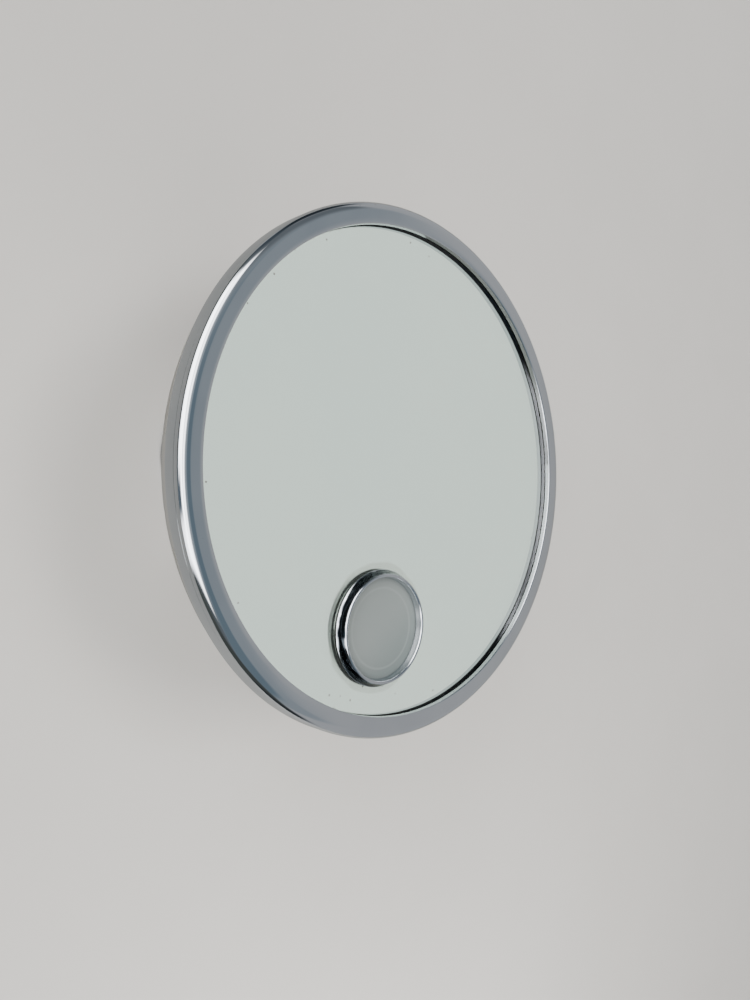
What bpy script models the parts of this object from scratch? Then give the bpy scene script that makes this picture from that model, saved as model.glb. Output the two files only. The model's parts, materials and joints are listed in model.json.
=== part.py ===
"""Extendable shaving mirror: a round chromed head with a lit window, on lazy tongs that fold to the wall.

Lengths are in millimetres until place() turns them into metres. +Z is up, the wall is the plane y = 0,
and the mirror faces -Y. The arm is folded, and the head hangs straight.
"""

import math

import bmesh
import bpy
from mathutils import Matrix

MM = 0.001
GAP = 0.3  # running gap left between neighbouring pieces

# Head
RING_R = 125.0
SKIRT_WALL = 1.0
SEEN_GLASS_R = 114.6
BEAD_PROUD = 3.0
BEAD_R = 4.6
SKIRT_DEPTH = 8.5  # from the front of the glass back to the ring's rear edge
ROLLED_EDGE = 0.8
GLASS_R = 118.5
GLASS_THICK = 3.0
GLASS_FRONT_Y = -165.0
HEAD_Z = -12.0
WINDOW_DROP = 74.8
WINDOW_Z = HEAD_Z - WINDOW_DROP
SHELL_WALL = 1.2
SHELL_BACK_Y = -127.0
SHELL_FLAT_R = 76.0

# Window
BEZEL_R = 27.0
BEZEL_HOLE_R = 22.6
BEZEL_TUBE_R = 25.5
CREST_AT = (24.73, 3.4)  # radius, and height over the bezel's base
CREST_R = 1.1
LENS_SEAT = 1.2  # height of the lens's seat over the bezel's base
LENS_R = 24.1
LENS_THICK = 2.0
WINDOW_HOLE_R = BEZEL_TUBE_R + 0.4
PAD_THICK = 1.5
PAD_HOLE_R = 31.5
BACK_PLATE_THICK = 1.0
PAD_FRONT_Y = GLASS_FRONT_Y + GLASS_THICK + GAP
BACK_PLATE_FRONT_Y = PAD_FRONT_Y + PAD_THICK + GAP
BACK_PLATE_BACK_Y = BACK_PLATE_FRONT_Y + BACK_PLATE_THICK

# Lazy tongs
STAGES = 4
LINK_LENGTH = 120.0  # between end pivots
FOLDED_PITCH = 12.0  # depth of one folded stage
LINK_WIDTH = 10.5
LINK_THICK = 2.2
LAYER_GAP = 0.8
PIN_R = 2.0
PIN_HOLE_R = PIN_R + GAP
REAR_PIVOT_Y = -20.0
FOLD_ANGLE = math.asin(FOLDED_PITCH / LINK_LENGTH)
HALF_RISE = LINK_LENGTH * math.cos(FOLD_ANGLE) / 2
FRONT_PIVOT_Y = REAR_PIVOT_Y - STAGES * FOLDED_PITCH

# Channels that carry the tongs' ends
CHANNEL_INNER = 6.0
SHEET = 1.6
CHANNEL_HALF_HEIGHT = 71.0
CHANNEL_DEPTH = 18.6
REAR_BASE_Y = -9.5
FRONT_BASE_Y = FRONT_PIVOT_Y - 10.4
SLOT_LOW_Z = -HALF_RISE + LINK_LENGTH * math.cos(math.radians(61))
SLOT_HIGH_Z = HALF_RISE + 1.5

# Swivel and tilt
SWIVEL_Y = -92.0
TILT_Y = -110.0
BOSS_R = 6.5
JOINT_PIN_R = 2.5
JOINT_HOLE_R = JOINT_PIN_R + GAP
EAR_R = 7.0
SWIVEL_EAR = 9.0  # inner face of each swivel ear, from the head's middle height
SWIVEL_EAR_THICK = 2.0
TILT_EAR = 7.2  # inner face of each tilt ear, from the middle
TILT_EAR_THICK = 2.2
CLEVIS_SCREW_X = 13.0
CLEVIS_HOLE_R = 2.1

# Wall rosette
COVER_R = 42.0
COVER_FLAT_R = 25.0
COVER_FRONT_Y = -9.2
PLATE_R = 39.5
PLATE_THICK = 2.0
WALL_SCREW_X = 30.0
CHANNEL_SCREW_Z = 16.0
INLET_AT = (15.0, 0.0, -7.0)
INLET_R = 4.3
SCREW_HOLE_R = 2.2

# Lamp and switch
BULB_Y = -145.0
BULB_R = 9.5
SOCKET_TOP_Z = WINDOW_Z + 50.0
SWITCH_X = 46.0
SWITCH_DEPTH = 18.0
BUSH_R = 5.2
SWITCH_Z = HEAD_Z - 44.0
GROMMET_X = -30.0
GROMMET_Z = HEAD_Z - 30.0
LEVER_TILT = math.radians(13)

COLOURS = {  # name: (red, green, blue), metallic, roughness
    "chrome": ((0.60, 0.61, 0.65), 1.0, 0.08),
    "nickel": ((0.62, 0.60, 0.56), 1.0, 0.28),
    "silvered_glass": ((0.76, 0.80, 0.77), 1.0, 0.02),
    "frosted_glass": ((0.57, 0.61, 0.60), 0.0, 0.55),
    "steel": ((0.48, 0.48, 0.49), 1.0, 0.38),
    "brass": ((0.70, 0.55, 0.28), 1.0, 0.30),
    "felt": ((0.20, 0.22, 0.20), 0.0, 0.95),
    "bakelite": ((0.06, 0.035, 0.025), 0.0, 0.35),
    "porcelain": ((0.85, 0.84, 0.80), 0.0, 0.25),
    "reflector": ((0.80, 0.80, 0.78), 1.0, 0.20),
    "rubber": ((0.04, 0.04, 0.04), 0.0, 0.75),
    "brown_lead": ((0.16, 0.07, 0.03), 0.0, 0.60),
    "blue_lead": ((0.05, 0.10, 0.30), 0.0, 0.60),
}


def clear_scene():
    for obj in list(bpy.data.objects):
        bpy.data.objects.remove(obj, do_unlink=True)


def material(name):
    found = bpy.data.materials.get(name)
    if found:
        return found
    colour, metallic, roughness = COLOURS[name]
    made = bpy.data.materials.new(name)
    made.use_nodes = True
    shader = made.node_tree.nodes["Principled BSDF"]
    shader.inputs["Base Color"].default_value = (*colour, 1.0)
    shader.inputs["Metallic"].default_value = metallic
    shader.inputs["Roughness"].default_value = roughness
    return made


# ---- Outlines, each a list of (u, v) points in millimetres ----


def arc(centre, radius, start, end, steps):
    """Points on an arc between two angles in degrees, both ends included."""
    turns = [math.radians(start + (end - start) * i / steps) for i in range(steps + 1)]
    return [(centre[0] + radius * math.cos(t), centre[1] + radius * math.sin(t)) for t in turns]


def circle(centre, radius, count=16):
    return arc(centre, radius, 0, 360 - 360 / count, count - 1)


def slot(low, high, radius, steps=6):
    """A slot or a bar with round ends, from low to high."""
    lean = math.degrees(math.atan2(high[1] - low[1], high[0] - low[0]))
    return arc(high, radius, lean - 90, lean + 90, steps) + arc(low, radius, lean + 90, lean + 270, steps)


def box_outline(half_u, half_v):
    return [(-half_u, -half_v), (half_u, -half_v), (half_u, half_v), (-half_u, half_v)]


# ---- Solids ----


def finish(name, mesh, finish_name, body, at=(0, 0, 0), sharp=35):
    """Turns a bmesh in millimetres into a named object at a point, parented to its body's empty."""
    bmesh.ops.recalc_face_normals(mesh, faces=mesh.faces)
    if mesh.calc_volume(signed=True) < 0:
        bmesh.ops.reverse_faces(mesh, faces=mesh.faces)
    bmesh.ops.scale(mesh, vec=(MM, MM, MM), verts=mesh.verts)
    data = bpy.data.meshes.new(name)
    mesh.to_mesh(data)
    mesh.free()
    data.shade_smooth()
    data.set_sharp_from_angle(angle=math.radians(sharp))
    data.materials.append(material(finish_name))
    obj = bpy.data.objects.new(name, data)
    bpy.context.scene.collection.objects.link(obj)
    place(obj, body, at)
    return obj


def place(obj, body, at):
    obj.parent = body
    origin = body["at_mm"] if body else (0, 0, 0)
    obj.location = [(a - o) * MM for a, o in zip(at, origin)]


def toward(axis):
    """The rotation that takes the +Y axis, on which solids are built, to the named axis."""
    if axis == "X":
        return Matrix.Rotation(math.radians(-90), 3, "Z")
    if axis == "Z":
        return Matrix.Rotation(math.radians(90), 3, "X")
    return Matrix.Identity(3)


def turned(profile, axis="Y", steps=32):
    """A solid of revolution from a closed outline of (radius, distance along the axis)."""
    mesh = bmesh.new()
    verts = [mesh.verts.new((r, along, 0)) for r, along in profile]
    edges = [mesh.edges.new(pair) for pair in zip(verts, verts[1:] + verts[:1])]
    bmesh.ops.spin(
        mesh, geom=verts + edges, cent=(0, 0, 0), axis=(0, 1, 0), angle=math.tau, steps=steps, use_merge=True
    )
    bmesh.ops.remove_doubles(mesh, verts=mesh.verts, dist=1e-4)
    bmesh.ops.delete(mesh, geom=[e for e in mesh.edges if not e.link_faces], context="EDGES")
    bmesh.ops.rotate(mesh, cent=(0, 0, 0), matrix=toward(axis), verts=mesh.verts)
    return mesh


def extruded(loops, low, high, axis):
    """A plate: an outline and its holes in the plane across the axis, drawn out from low to high along it.

    The outline is in (y, z) across X, in (x, z) across Y and in (x, y) across Z.
    """
    order = {"X": (2, 0, 1), "Y": (0, 2, 1), "Z": (0, 1, 2)}[axis]

    def point(u, v, w):
        return [(u, v, w)[i] for i in order]

    mesh = bmesh.new()
    edges = []
    for loop in loops:
        verts = [mesh.verts.new(point(u, v, low)) for u, v in loop]
        edges += [mesh.edges.new(pair) for pair in zip(verts, verts[1:] + verts[:1])]
    filled = bmesh.ops.triangle_fill(mesh, use_beauty=True, use_dissolve=False, edges=edges)
    faces = [item for item in filled["geom"] if isinstance(item, bmesh.types.BMFace)]
    drawn = bmesh.ops.extrude_face_region(mesh, geom=faces)
    moved = [item for item in drawn["geom"] if isinstance(item, bmesh.types.BMVert)]
    bmesh.ops.translate(mesh, verts=moved, vec=point(0, 0, high - low))
    return mesh


def combine(obj, operation, mesh, at=(0, 0, 0)):
    """Joins a solid to the object or cuts it away, with a Boolean whose operand stays hidden."""
    tool = finish(f"{obj.name}_{operation.lower()}_{len(obj.modifiers)}", mesh, "steel", None, at)
    tool.hide_render = True
    tool.hide_set(True)
    tool.display_type = "WIRE"
    boolean = obj.modifiers.new(tool.name, "BOOLEAN")
    boolean.operation = operation
    boolean.solver = "EXACT"
    boolean.object = tool


def rod(radius, low, high, axis, steps=16):
    return turned([(0, low), (radius, low), (radius, high), (0, high)], axis, steps)


def riveted(shank_r, low, high, head_r, head, sleeve_r=None, grips=()):
    """Profile of a pin with a domed head past each end. Sleeves thicken it, except at the grips."""
    dome = 0.55 * head_r
    edge = 0.35 * head
    points = [(0, low - head), (dome, low - head), (head_r, low - edge), (head_r, low), (shank_r, low)]
    if sleeve_r:
        inset = GAP + SHEET + GAP
        spans = [low + inset, *[edge for grip in grips for edge in grip], high - inset]
        for start, end in zip(spans[::2], spans[1::2]):
            points += [(shank_r, start), (sleeve_r, start), (sleeve_r, end), (shank_r, end)]
    points += [(shank_r, high), (head_r, high), (head_r, high + edge), (dome, high + head), (0, high + head)]
    return points


def body_frame(name, at, parent=None):
    """An empty on a joint's axis, which carries the pieces that the joint moves."""
    empty = bpy.data.objects.new(name, None)
    empty["at_mm"] = at
    bpy.context.scene.collection.objects.link(empty)
    place(empty, parent, at)
    return empty


# ---- Wall side ----


def make_wall_plate(body):
    holes = [circle((side * WALL_SCREW_X, 0), SCREW_HOLE_R, 12) for side in (-1, 1)]
    disc = extruded([circle((0, 0), PLATE_R, 40), *holes], -PLATE_THICK, 0, "Y")
    plate = finish("wall_plate", disc, "steel", body)
    pillar_end = COVER_FRONT_Y + 1.0 + GAP
    for side in (-1, 1):
        at = (0, 0, side * CHANNEL_SCREW_Z)
        combine(plate, "UNION", rod(4.2, pillar_end, -PLATE_THICK / 2, "Y", 14), at)
        combine(plate, "DIFFERENCE", rod(SCREW_HOLE_R, pillar_end - 1, 1, "Y", 12), at)


def make_rosette_cover(body):
    wall = 1.0
    inner_r = COVER_R - wall
    front = COVER_FRONT_Y
    outer = [
        (COVER_R, -GAP), (COVER_R, -2.2), (COVER_R - 1.2, -4.1),
        (COVER_R - 3, -5.2), (29, -7.4), (COVER_FLAT_R, front),
    ]
    inner = [(COVER_FLAT_R, front + wall), (28.7, -6.4), (34.4, -4.3), (inner_r, -2.2), (inner_r, -GAP)]
    profile = [*outer, (0, front), (0, front + wall), *inner]
    cover = finish("rosette_cover", turned(profile, "Y", 36), "chrome", body)
    cut_from, cut_to = front - 1, front + 3
    for z in (-CHANNEL_SCREW_Z, CHANNEL_SCREW_Z):
        combine(cover, "DIFFERENCE", rod(SCREW_HOLE_R, cut_from, cut_to, "Y", 12), (0, 0, z))
    combine(cover, "DIFFERENCE", rod(INLET_R, cut_from, cut_to, "Y", 16), INLET_AT)


def screw_profile(shank_r, tip, under_head, head_r, head):
    """A screw along Y whose head faces -Y, or +Y if the head's height is negative."""
    front = under_head - head
    edge = front + 0.3 * head
    return [
        (0, tip), (shank_r, tip), (shank_r, under_head), (head_r, under_head),
        (head_r, edge), (0.6 * head_r, front), (0, front),
    ]


def make_wall_fasteners(body):
    for name, x in (("wall_screw_left", -WALL_SCREW_X), ("wall_screw_right", WALL_SCREW_X)):
        profile = screw_profile(1.9, -0.2, -PLATE_THICK - GAP, 3.6, 2.0)
        finish(name, turned(profile, "Y", 14), "steel", body, (x, 0, 0))
    under = REAR_BASE_Y - SHEET - GAP
    for name, z in (("channel_screw_lower", -CHANNEL_SCREW_Z), ("channel_screw_upper", CHANNEL_SCREW_Z)):
        finish(name, turned(screw_profile(1.9, -0.4, under, 3.4, 1.8), "Y", 14), "steel", body, (0, 0, z))


def make_terminal_block(body):
    block = extruded([box_outline(10, 6)], -7.4, -PLATE_THICK - GAP, "Y")
    terminal = finish("terminal_block", block, "porcelain", body, (-4, 0, 0))
    for x in (-9, 1):
        combine(terminal, "DIFFERENCE", rod(1.6, -9, -4.5, "Y", 10), (x, 0, 0))


def grommet_profile(front, back, hole_r):
    """A rubber grommet along Y in a sheet that lies between front and back."""
    neck, flange, bore = hole_r - GAP, hole_r + 2.2, hole_r - 2.1
    lip, chamfer = 1.4, 0.8
    low, high = front - GAP, back + GAP
    tip = low - lip
    near = [(bore, tip), (flange - chamfer, tip), (flange, tip + chamfer), (flange, low), (neck, low)]
    return near + [(r, low + high - y) for r, y in reversed(near)]


def channel_flange(base_y, facing, pivot_y):
    """Outline of a channel's flange with its clipped corners, then its pivot hole and its slot."""
    far = base_y + facing * CHANNEL_DEPTH
    near = base_y + facing * 0.2
    half = CHANNEL_HALF_HEIGHT - 0.2
    clip = 4
    outline = [
        (near, -half), (far - facing * clip, -half), (far, clip - half),
        (far, half - clip), (far - facing * clip, half), (near, half),
    ]
    pivot_hole = circle((pivot_y, -HALF_RISE), PIN_HOLE_R, 12)
    return [outline, pivot_hole, slot((pivot_y, SLOT_LOW_Z), (pivot_y, SLOT_HIGH_Z), PIN_HOLE_R)]


def channel(name, base_y, facing, body):
    """A U channel that stands upright. Its flanges point along -Y if facing is -1, or along +Y if +1."""
    pivot_y = REAR_PIVOT_Y if facing < 0 else FRONT_PIVOT_Y
    screw_heights = (-CHANNEL_SCREW_Z, CHANNEL_SCREW_Z) if facing < 0 else ()
    base_holes = [circle((0, z), SCREW_HOLE_R, 12) for z in screw_heights]
    edges = sorted((base_y, base_y + facing * SHEET))
    base = extruded([box_outline(CHANNEL_INNER + 1.2, CHANNEL_HALF_HEIGHT), *base_holes], *edges, "Y")
    obj = finish(name, base, "nickel", body)
    for side in (-1, 1):
        low, high = sorted((side * CHANNEL_INNER, side * (CHANNEL_INNER + SHEET)))
        combine(obj, "UNION", extruded(channel_flange(base_y, facing, pivot_y), low, high, "X"))
    return obj


# ---- Lazy tongs ----


def stage_y(stage):
    """Depth of the end pivots between a stage and the next, with 0 at the wall."""
    return REAR_PIVOT_Y - stage * FOLDED_PITCH


def make_link(name, lean, layer, body, at):
    """One bar of the tongs, with its middle at a point. lean is +1 where its upper end is nearer the room."""
    run = -lean * FOLDED_PITCH / 2
    low, high = (-run, -HALF_RISE), (run, HALF_RISE)
    loops = [slot(low, high, LINK_WIDTH / 2), *[circle(p, PIN_HOLE_R, 12) for p in (low, (0, 0), high)]]
    inner = layer * LAYER_GAP / 2
    edges = sorted((inner, inner + layer * LINK_THICK))
    finish(name, extruded(loops, *edges, "X"), "nickel", body, at)


def make_pin(name, body, y, z, profile):
    finish(name, turned(profile, "X", 10), "nickel", body, (0, y, z))


def link_pin_profile():
    edge = LAYER_GAP / 2 + LINK_THICK + GAP
    return riveted(PIN_R, -edge, edge, 3.6, 1.4)


def channel_pin_profile(layer):
    """A pin across a channel, with sleeves that hold the link of one layer in place."""
    edge = CHANNEL_INNER + SHEET + GAP
    grip = sorted((layer * (LAYER_GAP / 2 - GAP), layer * (LAYER_GAP / 2 + LINK_THICK + GAP)))
    return riveted(PIN_R, -edge, edge, 4.0, 1.5, 3.2, [grip])


def make_tongs(wall):
    """The four stages. One link of each stage carries the next stage, and the other crosses it."""
    carrier = wall
    bodies = {}
    for stage in range(1, STAGES + 1):
        near, far, middle = stage_y(stage - 1), stage_y(stage), stage_y(stage - 0.5)
        odd = stage % 2 == 1
        carrying, crossing = ("a", "b") if odd else ("b", "a")
        carrier = body_frame(f"{carrying}{stage}_frame", (0, near, -HALF_RISE if odd else HALF_RISE), carrier)
        crosser = body_frame(f"{crossing}{stage}_frame", (0, middle, 0), carrier)
        stage_bodies = {carrying: carrier, crossing: crosser}
        for letter, lean in (("a", 1), ("b", -1)):
            bodies[f"{letter}{stage}"] = stage_bodies[letter]
            make_link(f"link_{letter}{stage}", lean, lean, stage_bodies[letter], (0, middle, 0))
        make_pin(f"centre_pin_{stage}", stage_bodies["a"], middle, 0, link_pin_profile())
        if stage < STAGES:
            make_pin(f"upper_pin_{stage}", stage_bodies["a"], far, HALF_RISE, link_pin_profile())
            make_pin(f"lower_pin_{stage}", stage_bodies["b"], far, -HALF_RISE, link_pin_profile())
    make_pin("rear_lower_pin", wall, REAR_PIVOT_Y, -HALF_RISE, channel_pin_profile(1))
    make_pin("rear_slider_pin", bodies["b1"], REAR_PIVOT_Y, HALF_RISE, channel_pin_profile(-1))
    make_pin("front_slider_pin", bodies[f"a{STAGES}"], FRONT_PIVOT_Y, HALF_RISE, channel_pin_profile(1))
    front = body_frame("carriage_frame", (0, FRONT_PIVOT_Y, -HALF_RISE), carrier)
    make_pin("front_lower_pin", front, FRONT_PIVOT_Y, -HALF_RISE, channel_pin_profile(-1))
    return front


def make_carriage(front):
    """The front channel, with two ears for the swivel pin."""
    obj = channel("front_channel", FRONT_BASE_Y, 1, front)
    root = FRONT_BASE_Y + 1
    ear = [(EAR_R, root), *arc((0, SWIVEL_Y), EAR_R, 0, -180, 10), (-EAR_R, root)]
    loops = [ear, circle((0, SWIVEL_Y), JOINT_HOLE_R)]
    for side in (-1, 1):
        low, high = sorted((HEAD_Z + side * SWIVEL_EAR, HEAD_Z + side * (SWIVEL_EAR + SWIVEL_EAR_THICK)))
        combine(obj, "UNION", extruded(loops, low, high, "Z"))


# ---- Swivel and tilt ----


def make_knuckle(knuckle):
    """An upright boss for the swivel pin and a level eye for the tilt pin, joined by a web."""
    height = SWIVEL_EAR - GAP
    swivel, tilt = (0, SWIVEL_Y, HEAD_Z), (0, TILT_Y, HEAD_Z)
    obj = finish("swivel_knuckle", rod(BOSS_R, -height, height, "Z", 20), "chrome", knuckle, swivel)
    width = TILT_EAR - GAP
    combine(obj, "UNION", rod(BOSS_R - 0.1, -width, width, "X", 20), tilt)
    web = extruded([box_outline(4.2, 4.6)], TILT_Y, SWIVEL_Y, "Y")
    combine(obj, "UNION", web, (0, 0, HEAD_Z))
    combine(obj, "DIFFERENCE", rod(JOINT_HOLE_R, -20, 20, "Z"), swivel)
    combine(obj, "DIFFERENCE", rod(JOINT_HOLE_R, -20, 20, "X"), tilt)
    edge = SWIVEL_EAR + SWIVEL_EAR_THICK + GAP
    pin = turned(riveted(JOINT_PIN_R, -edge, edge, 4.6, 2.0), "Z", 14)
    finish("swivel_pin", pin, "chrome", knuckle, swivel)


def make_clevis(head):
    """A folded yoke on the shell's back, held by two screws whose heads face the wall."""
    sheet = 2.0
    back = SHELL_BACK_Y + GAP
    holes = [circle((x, 0), CLEVIS_HOLE_R, 12) for x in (-CLEVIS_SCREW_X, CLEVIS_SCREW_X)]
    base = extruded([box_outline(17, 13), *holes], back, back + sheet, "Y")
    obj = finish("tilt_clevis", base, "chrome", head, (0, 0, HEAD_Z))
    ear = [(back + 0.5, -10), *arc((TILT_Y, 0), EAR_R, -75, 75, 8), (back + 0.5, 10)]
    loops = [ear, circle((TILT_Y, 0), JOINT_HOLE_R)]
    for side in (-1, 1):
        low, high = sorted((side * TILT_EAR, side * (TILT_EAR + TILT_EAR_THICK)))
        combine(obj, "UNION", extruded(loops, low, high, "X"), (0, 0, HEAD_Z))
    tip, under_head = SHELL_BACK_Y - SHELL_WALL - 2.5, back + sheet + GAP
    for name, x in (("clevis_screw_left", -CLEVIS_SCREW_X), ("clevis_screw_right", CLEVIS_SCREW_X)):
        screw = screw_profile(1.8, tip, under_head, 3.2, -1.8)
        finish(name, turned(screw, "Y", 14), "steel", head, (x, 0, HEAD_Z))


def make_tilt_pin(head):
    """The tilt pin with its head at the left, and the thumb nut at its right end."""
    edge = TILT_EAR + TILT_EAR_THICK + GAP
    tip = edge + 7
    head_r = 4.6
    pin = [
        (0, -edge - 2), (2.6, -edge - 2), (head_r, -edge - 0.8), (head_r, -edge),
        (JOINT_PIN_R, -edge), (JOINT_PIN_R, tip), (0, tip),
    ]
    finish("tilt_pin", turned(pin, "X", 14), "chrome", head, (0, TILT_Y, HEAD_Z))
    nut_r = 7.4
    nut = [
        (JOINT_HOLE_R, edge), (5.0, edge), (nut_r, edge + 1.2),
        (nut_r, edge + 4.6), (6.0, edge + 6), (JOINT_HOLE_R, edge + 6),
    ]
    finish("tilt_nut", turned(nut, "X", 20), "chrome", head, (0, TILT_Y, HEAD_Z))


# ---- Head ----


def ring_profile():
    """A flat face with a rounded outer side in front of the glass, then a skirt behind a thin groove."""
    front = GLASS_FRONT_Y
    skirt_r = RING_R - 0.1
    inner = skirt_r - SKIRT_WALL
    rolled = inner - 1.1
    seat_r = GLASS_R + 0.5
    rear = front + SKIRT_DEPTH
    bead = []
    for degrees in (0, 15, 32, 54, 74):
        turn = math.radians(degrees)
        height = BEAD_PROUD - BEAD_R * (1 - math.cos(turn))
        bead.append((RING_R - BEAD_R * (1 - math.sin(turn)), front - height))
    return [
        (SEEN_GLASS_R, front - GAP), (SEEN_GLASS_R, front - 2.3), (SEEN_GLASS_R + 0.5, front - 2.75), *bead,
        (RING_R - 0.7, front + 1.0), (RING_R - 0.7, front + 1.7), (skirt_r, front + 2.1),
        (skirt_r, rear - 0.4), (skirt_r - 0.4, rear), (rolled, rear), (rolled, rear - ROLLED_EDGE),
        (inner, rear - ROLLED_EDGE), (inner, front + 1.5), (seat_r, front + 0.3), (seat_r, front - GAP),
    ]


def disc_with_window(radius, hole_r, low, high, steps=48, hole_steps=28):
    loops = [circle((0, 0), radius, steps), circle((0, -WINDOW_DROP), hole_r, hole_steps)]
    return extruded(loops, low, high, "Y")


def make_ring_and_glass(head):
    at = (0, 0, HEAD_Z)
    finish("front_ring", turned(ring_profile(), "Y", 56), "chrome", head, at)
    glass = disc_with_window(GLASS_R, WINDOW_HOLE_R, GLASS_FRONT_Y, GLASS_FRONT_Y + GLASS_THICK, 64)
    finish("mirror_glass", glass, "silvered_glass", head, at)
    pad = disc_with_window(GLASS_R - 1, PAD_HOLE_R, PAD_FRONT_Y, PAD_FRONT_Y + PAD_THICK, hole_steps=24)
    finish("backing_pad", pad, "felt", head, at)
    plate = disc_with_window(RING_R - 1.6, WINDOW_HOLE_R, BACK_PLATE_FRONT_Y, BACK_PLATE_BACK_Y)
    finish("back_plate", plate, "steel", head, at)


def ring_outline(inner_r, outer_r, low, high):
    return [(inner_r, low), (outer_r, low), (outer_r, high), (inner_r, high)]


def make_window(head):
    """Bezel with a ridge round the lens, the lens in its bore, a spring ring and a ring nut behind."""
    at = (0, 0, WINDOW_Z)
    front = GLASS_FRONT_Y - GAP
    crest = arc(CREST_AT, CREST_R, 25, 180, 5)
    ridge = [(BEZEL_R, 0), (26.85, 1.2), (26.4, 2.5), *crest, (BEZEL_HOLE_R, LENS_SEAT + 0.1)]
    crown = [(radius, front - height) for radius, height in ridge]
    seat = front - LENS_SEAT
    bore = LENS_R + GAP
    tube_end = GLASS_FRONT_Y + 9
    tube = [
        (BEZEL_HOLE_R, seat), (bore, seat), (bore, tube_end), (BEZEL_TUBE_R, tube_end), (BEZEL_TUBE_R, front),
    ]
    finish("window_bezel", turned([*crown, *tube], "Y", 28), "chrome", head, at)
    lens_back = seat + GAP + LENS_THICK
    finish("window_lens", rod(LENS_R, seat + GAP, lens_back, "Y", 32), "frosted_glass", head, at)
    spring = ring_outline(LENS_R - 1.4, LENS_R, lens_back + GAP, lens_back + GAP + 1.4)
    finish("lens_retainer", turned(spring, "Y", 24), "brass", head, at)
    nut_front = BACK_PLATE_BACK_Y + GAP
    nut = ring_outline(BEZEL_TUBE_R + GAP, BEZEL_TUBE_R + 4, nut_front, nut_front + 2.2)
    finish("bezel_nut", turned(nut, "Y", 24), "brass", head, at)


def make_shell(head):
    """A spun dish whose rim sits in the ring's rolled edge."""
    rim_r = RING_R - 1.5
    rim = GLASS_FRONT_Y + 6.4
    flange = GLASS_FRONT_Y + SKIRT_DEPTH - ROLLED_EDGE - GAP
    inside = SHELL_BACK_Y - SHELL_WALL
    outer = [
        (rim_r, rim), (rim_r, flange), (122.4, flange), (122.2, -153), (119.5, -145), (113, -137),
        (102, -131), (88, -128), (SHELL_FLAT_R, SHELL_BACK_Y), (0, SHELL_BACK_Y),
    ]
    inner = [
        (0, inside), (SHELL_FLAT_R, inside), (87.6, -129.2), (101.3, -132.2),
        (112, -138), (118.3, -145.5), (121, -153.3), (121, rim),
    ]
    shell = finish("rear_shell", turned([*outer, *inner], "Y", 44), "nickel", head, (0, 0, HEAD_Z))
    holes = [
        (-CLEVIS_SCREW_X, HEAD_Z, CLEVIS_HOLE_R), (CLEVIS_SCREW_X, HEAD_Z, CLEVIS_HOLE_R),
        (SWITCH_X, SWITCH_Z, BUSH_R + GAP), (GROMMET_X, GROMMET_Z, INLET_R),
    ]
    for x, z, radius in holes:
        combine(shell, "DIFFERENCE", rod(radius, inside - 3, SHELL_BACK_Y + 3, "Y", 16), (x, 0, z))


def make_lamp(head):
    """A tubular bulb that hangs cap up, its socket, and a trough reflector behind it."""
    at = (0, BULB_Y, 0)
    low, neck = WINDOW_Z - 24, WINDOW_Z + 22
    dome = arc((0, low + BULB_R), BULB_R, -60, 0, 2)
    glass = [(0, low), *dome, (BULB_R, neck - 5), (6.6, neck), (0, neck)]
    finish("bulb_glass", turned(glass, "Z", 18), "frosted_glass", head, at)
    cap_r, cap_low, cap_high = 6.8, neck + GAP, neck + 19
    cap = [(0, cap_low), (cap_r, cap_low), (cap_r, cap_high - 3), (3, cap_high), (0, cap_high)]
    finish("bulb_cap", turned(cap, "Z", 18), "brass", head, at)
    bore, outer_r, mouth, end, deep = 7.2, 9.6, WINDOW_Z + 27, SOCKET_TOP_Z, cap_high + 0.5
    socket = [
        (bore, mouth), (outer_r, mouth), (outer_r, end - 3), (outer_r - 1.2, end), (0, end),
        (0, deep), (bore, deep),
    ]
    finish("lamp_socket", turned(socket, "Z", 20), "porcelain", head, at)
    trough = arc((0, 0), 12.1, -8, 188, 14) + arc((0, 0), 11.3, 188, -8, 14)
    reflector = extruded([trough], WINDOW_Z - 18, WINDOW_Z + 25, "Z")
    finish("lamp_reflector", reflector, "reflector", head, at)


def make_socket_bracket(head):
    """An angle on the backing plate: one leg up the plate, the other over the socket, with a hole."""
    foot = BACK_PLATE_BACK_Y + GAP
    leg_z = SOCKET_TOP_Z + GAP
    sheet = 1.2
    outline = [(-8, foot), (8, foot), (8, -138), (-8, -138)]
    leg = extruded([outline, circle((0, BULB_Y), 5)], leg_z, leg_z + sheet, "Z")
    obj = finish("socket_bracket", leg, "steel", head)
    low, high = leg_z + 0.3, leg_z + 17
    base = extruded([[(-7.8, low), (7.8, low), (7.8, high), (-7.8, high)]], foot + 0.02, foot + sheet, "Y")
    combine(obj, "UNION", base)


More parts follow.
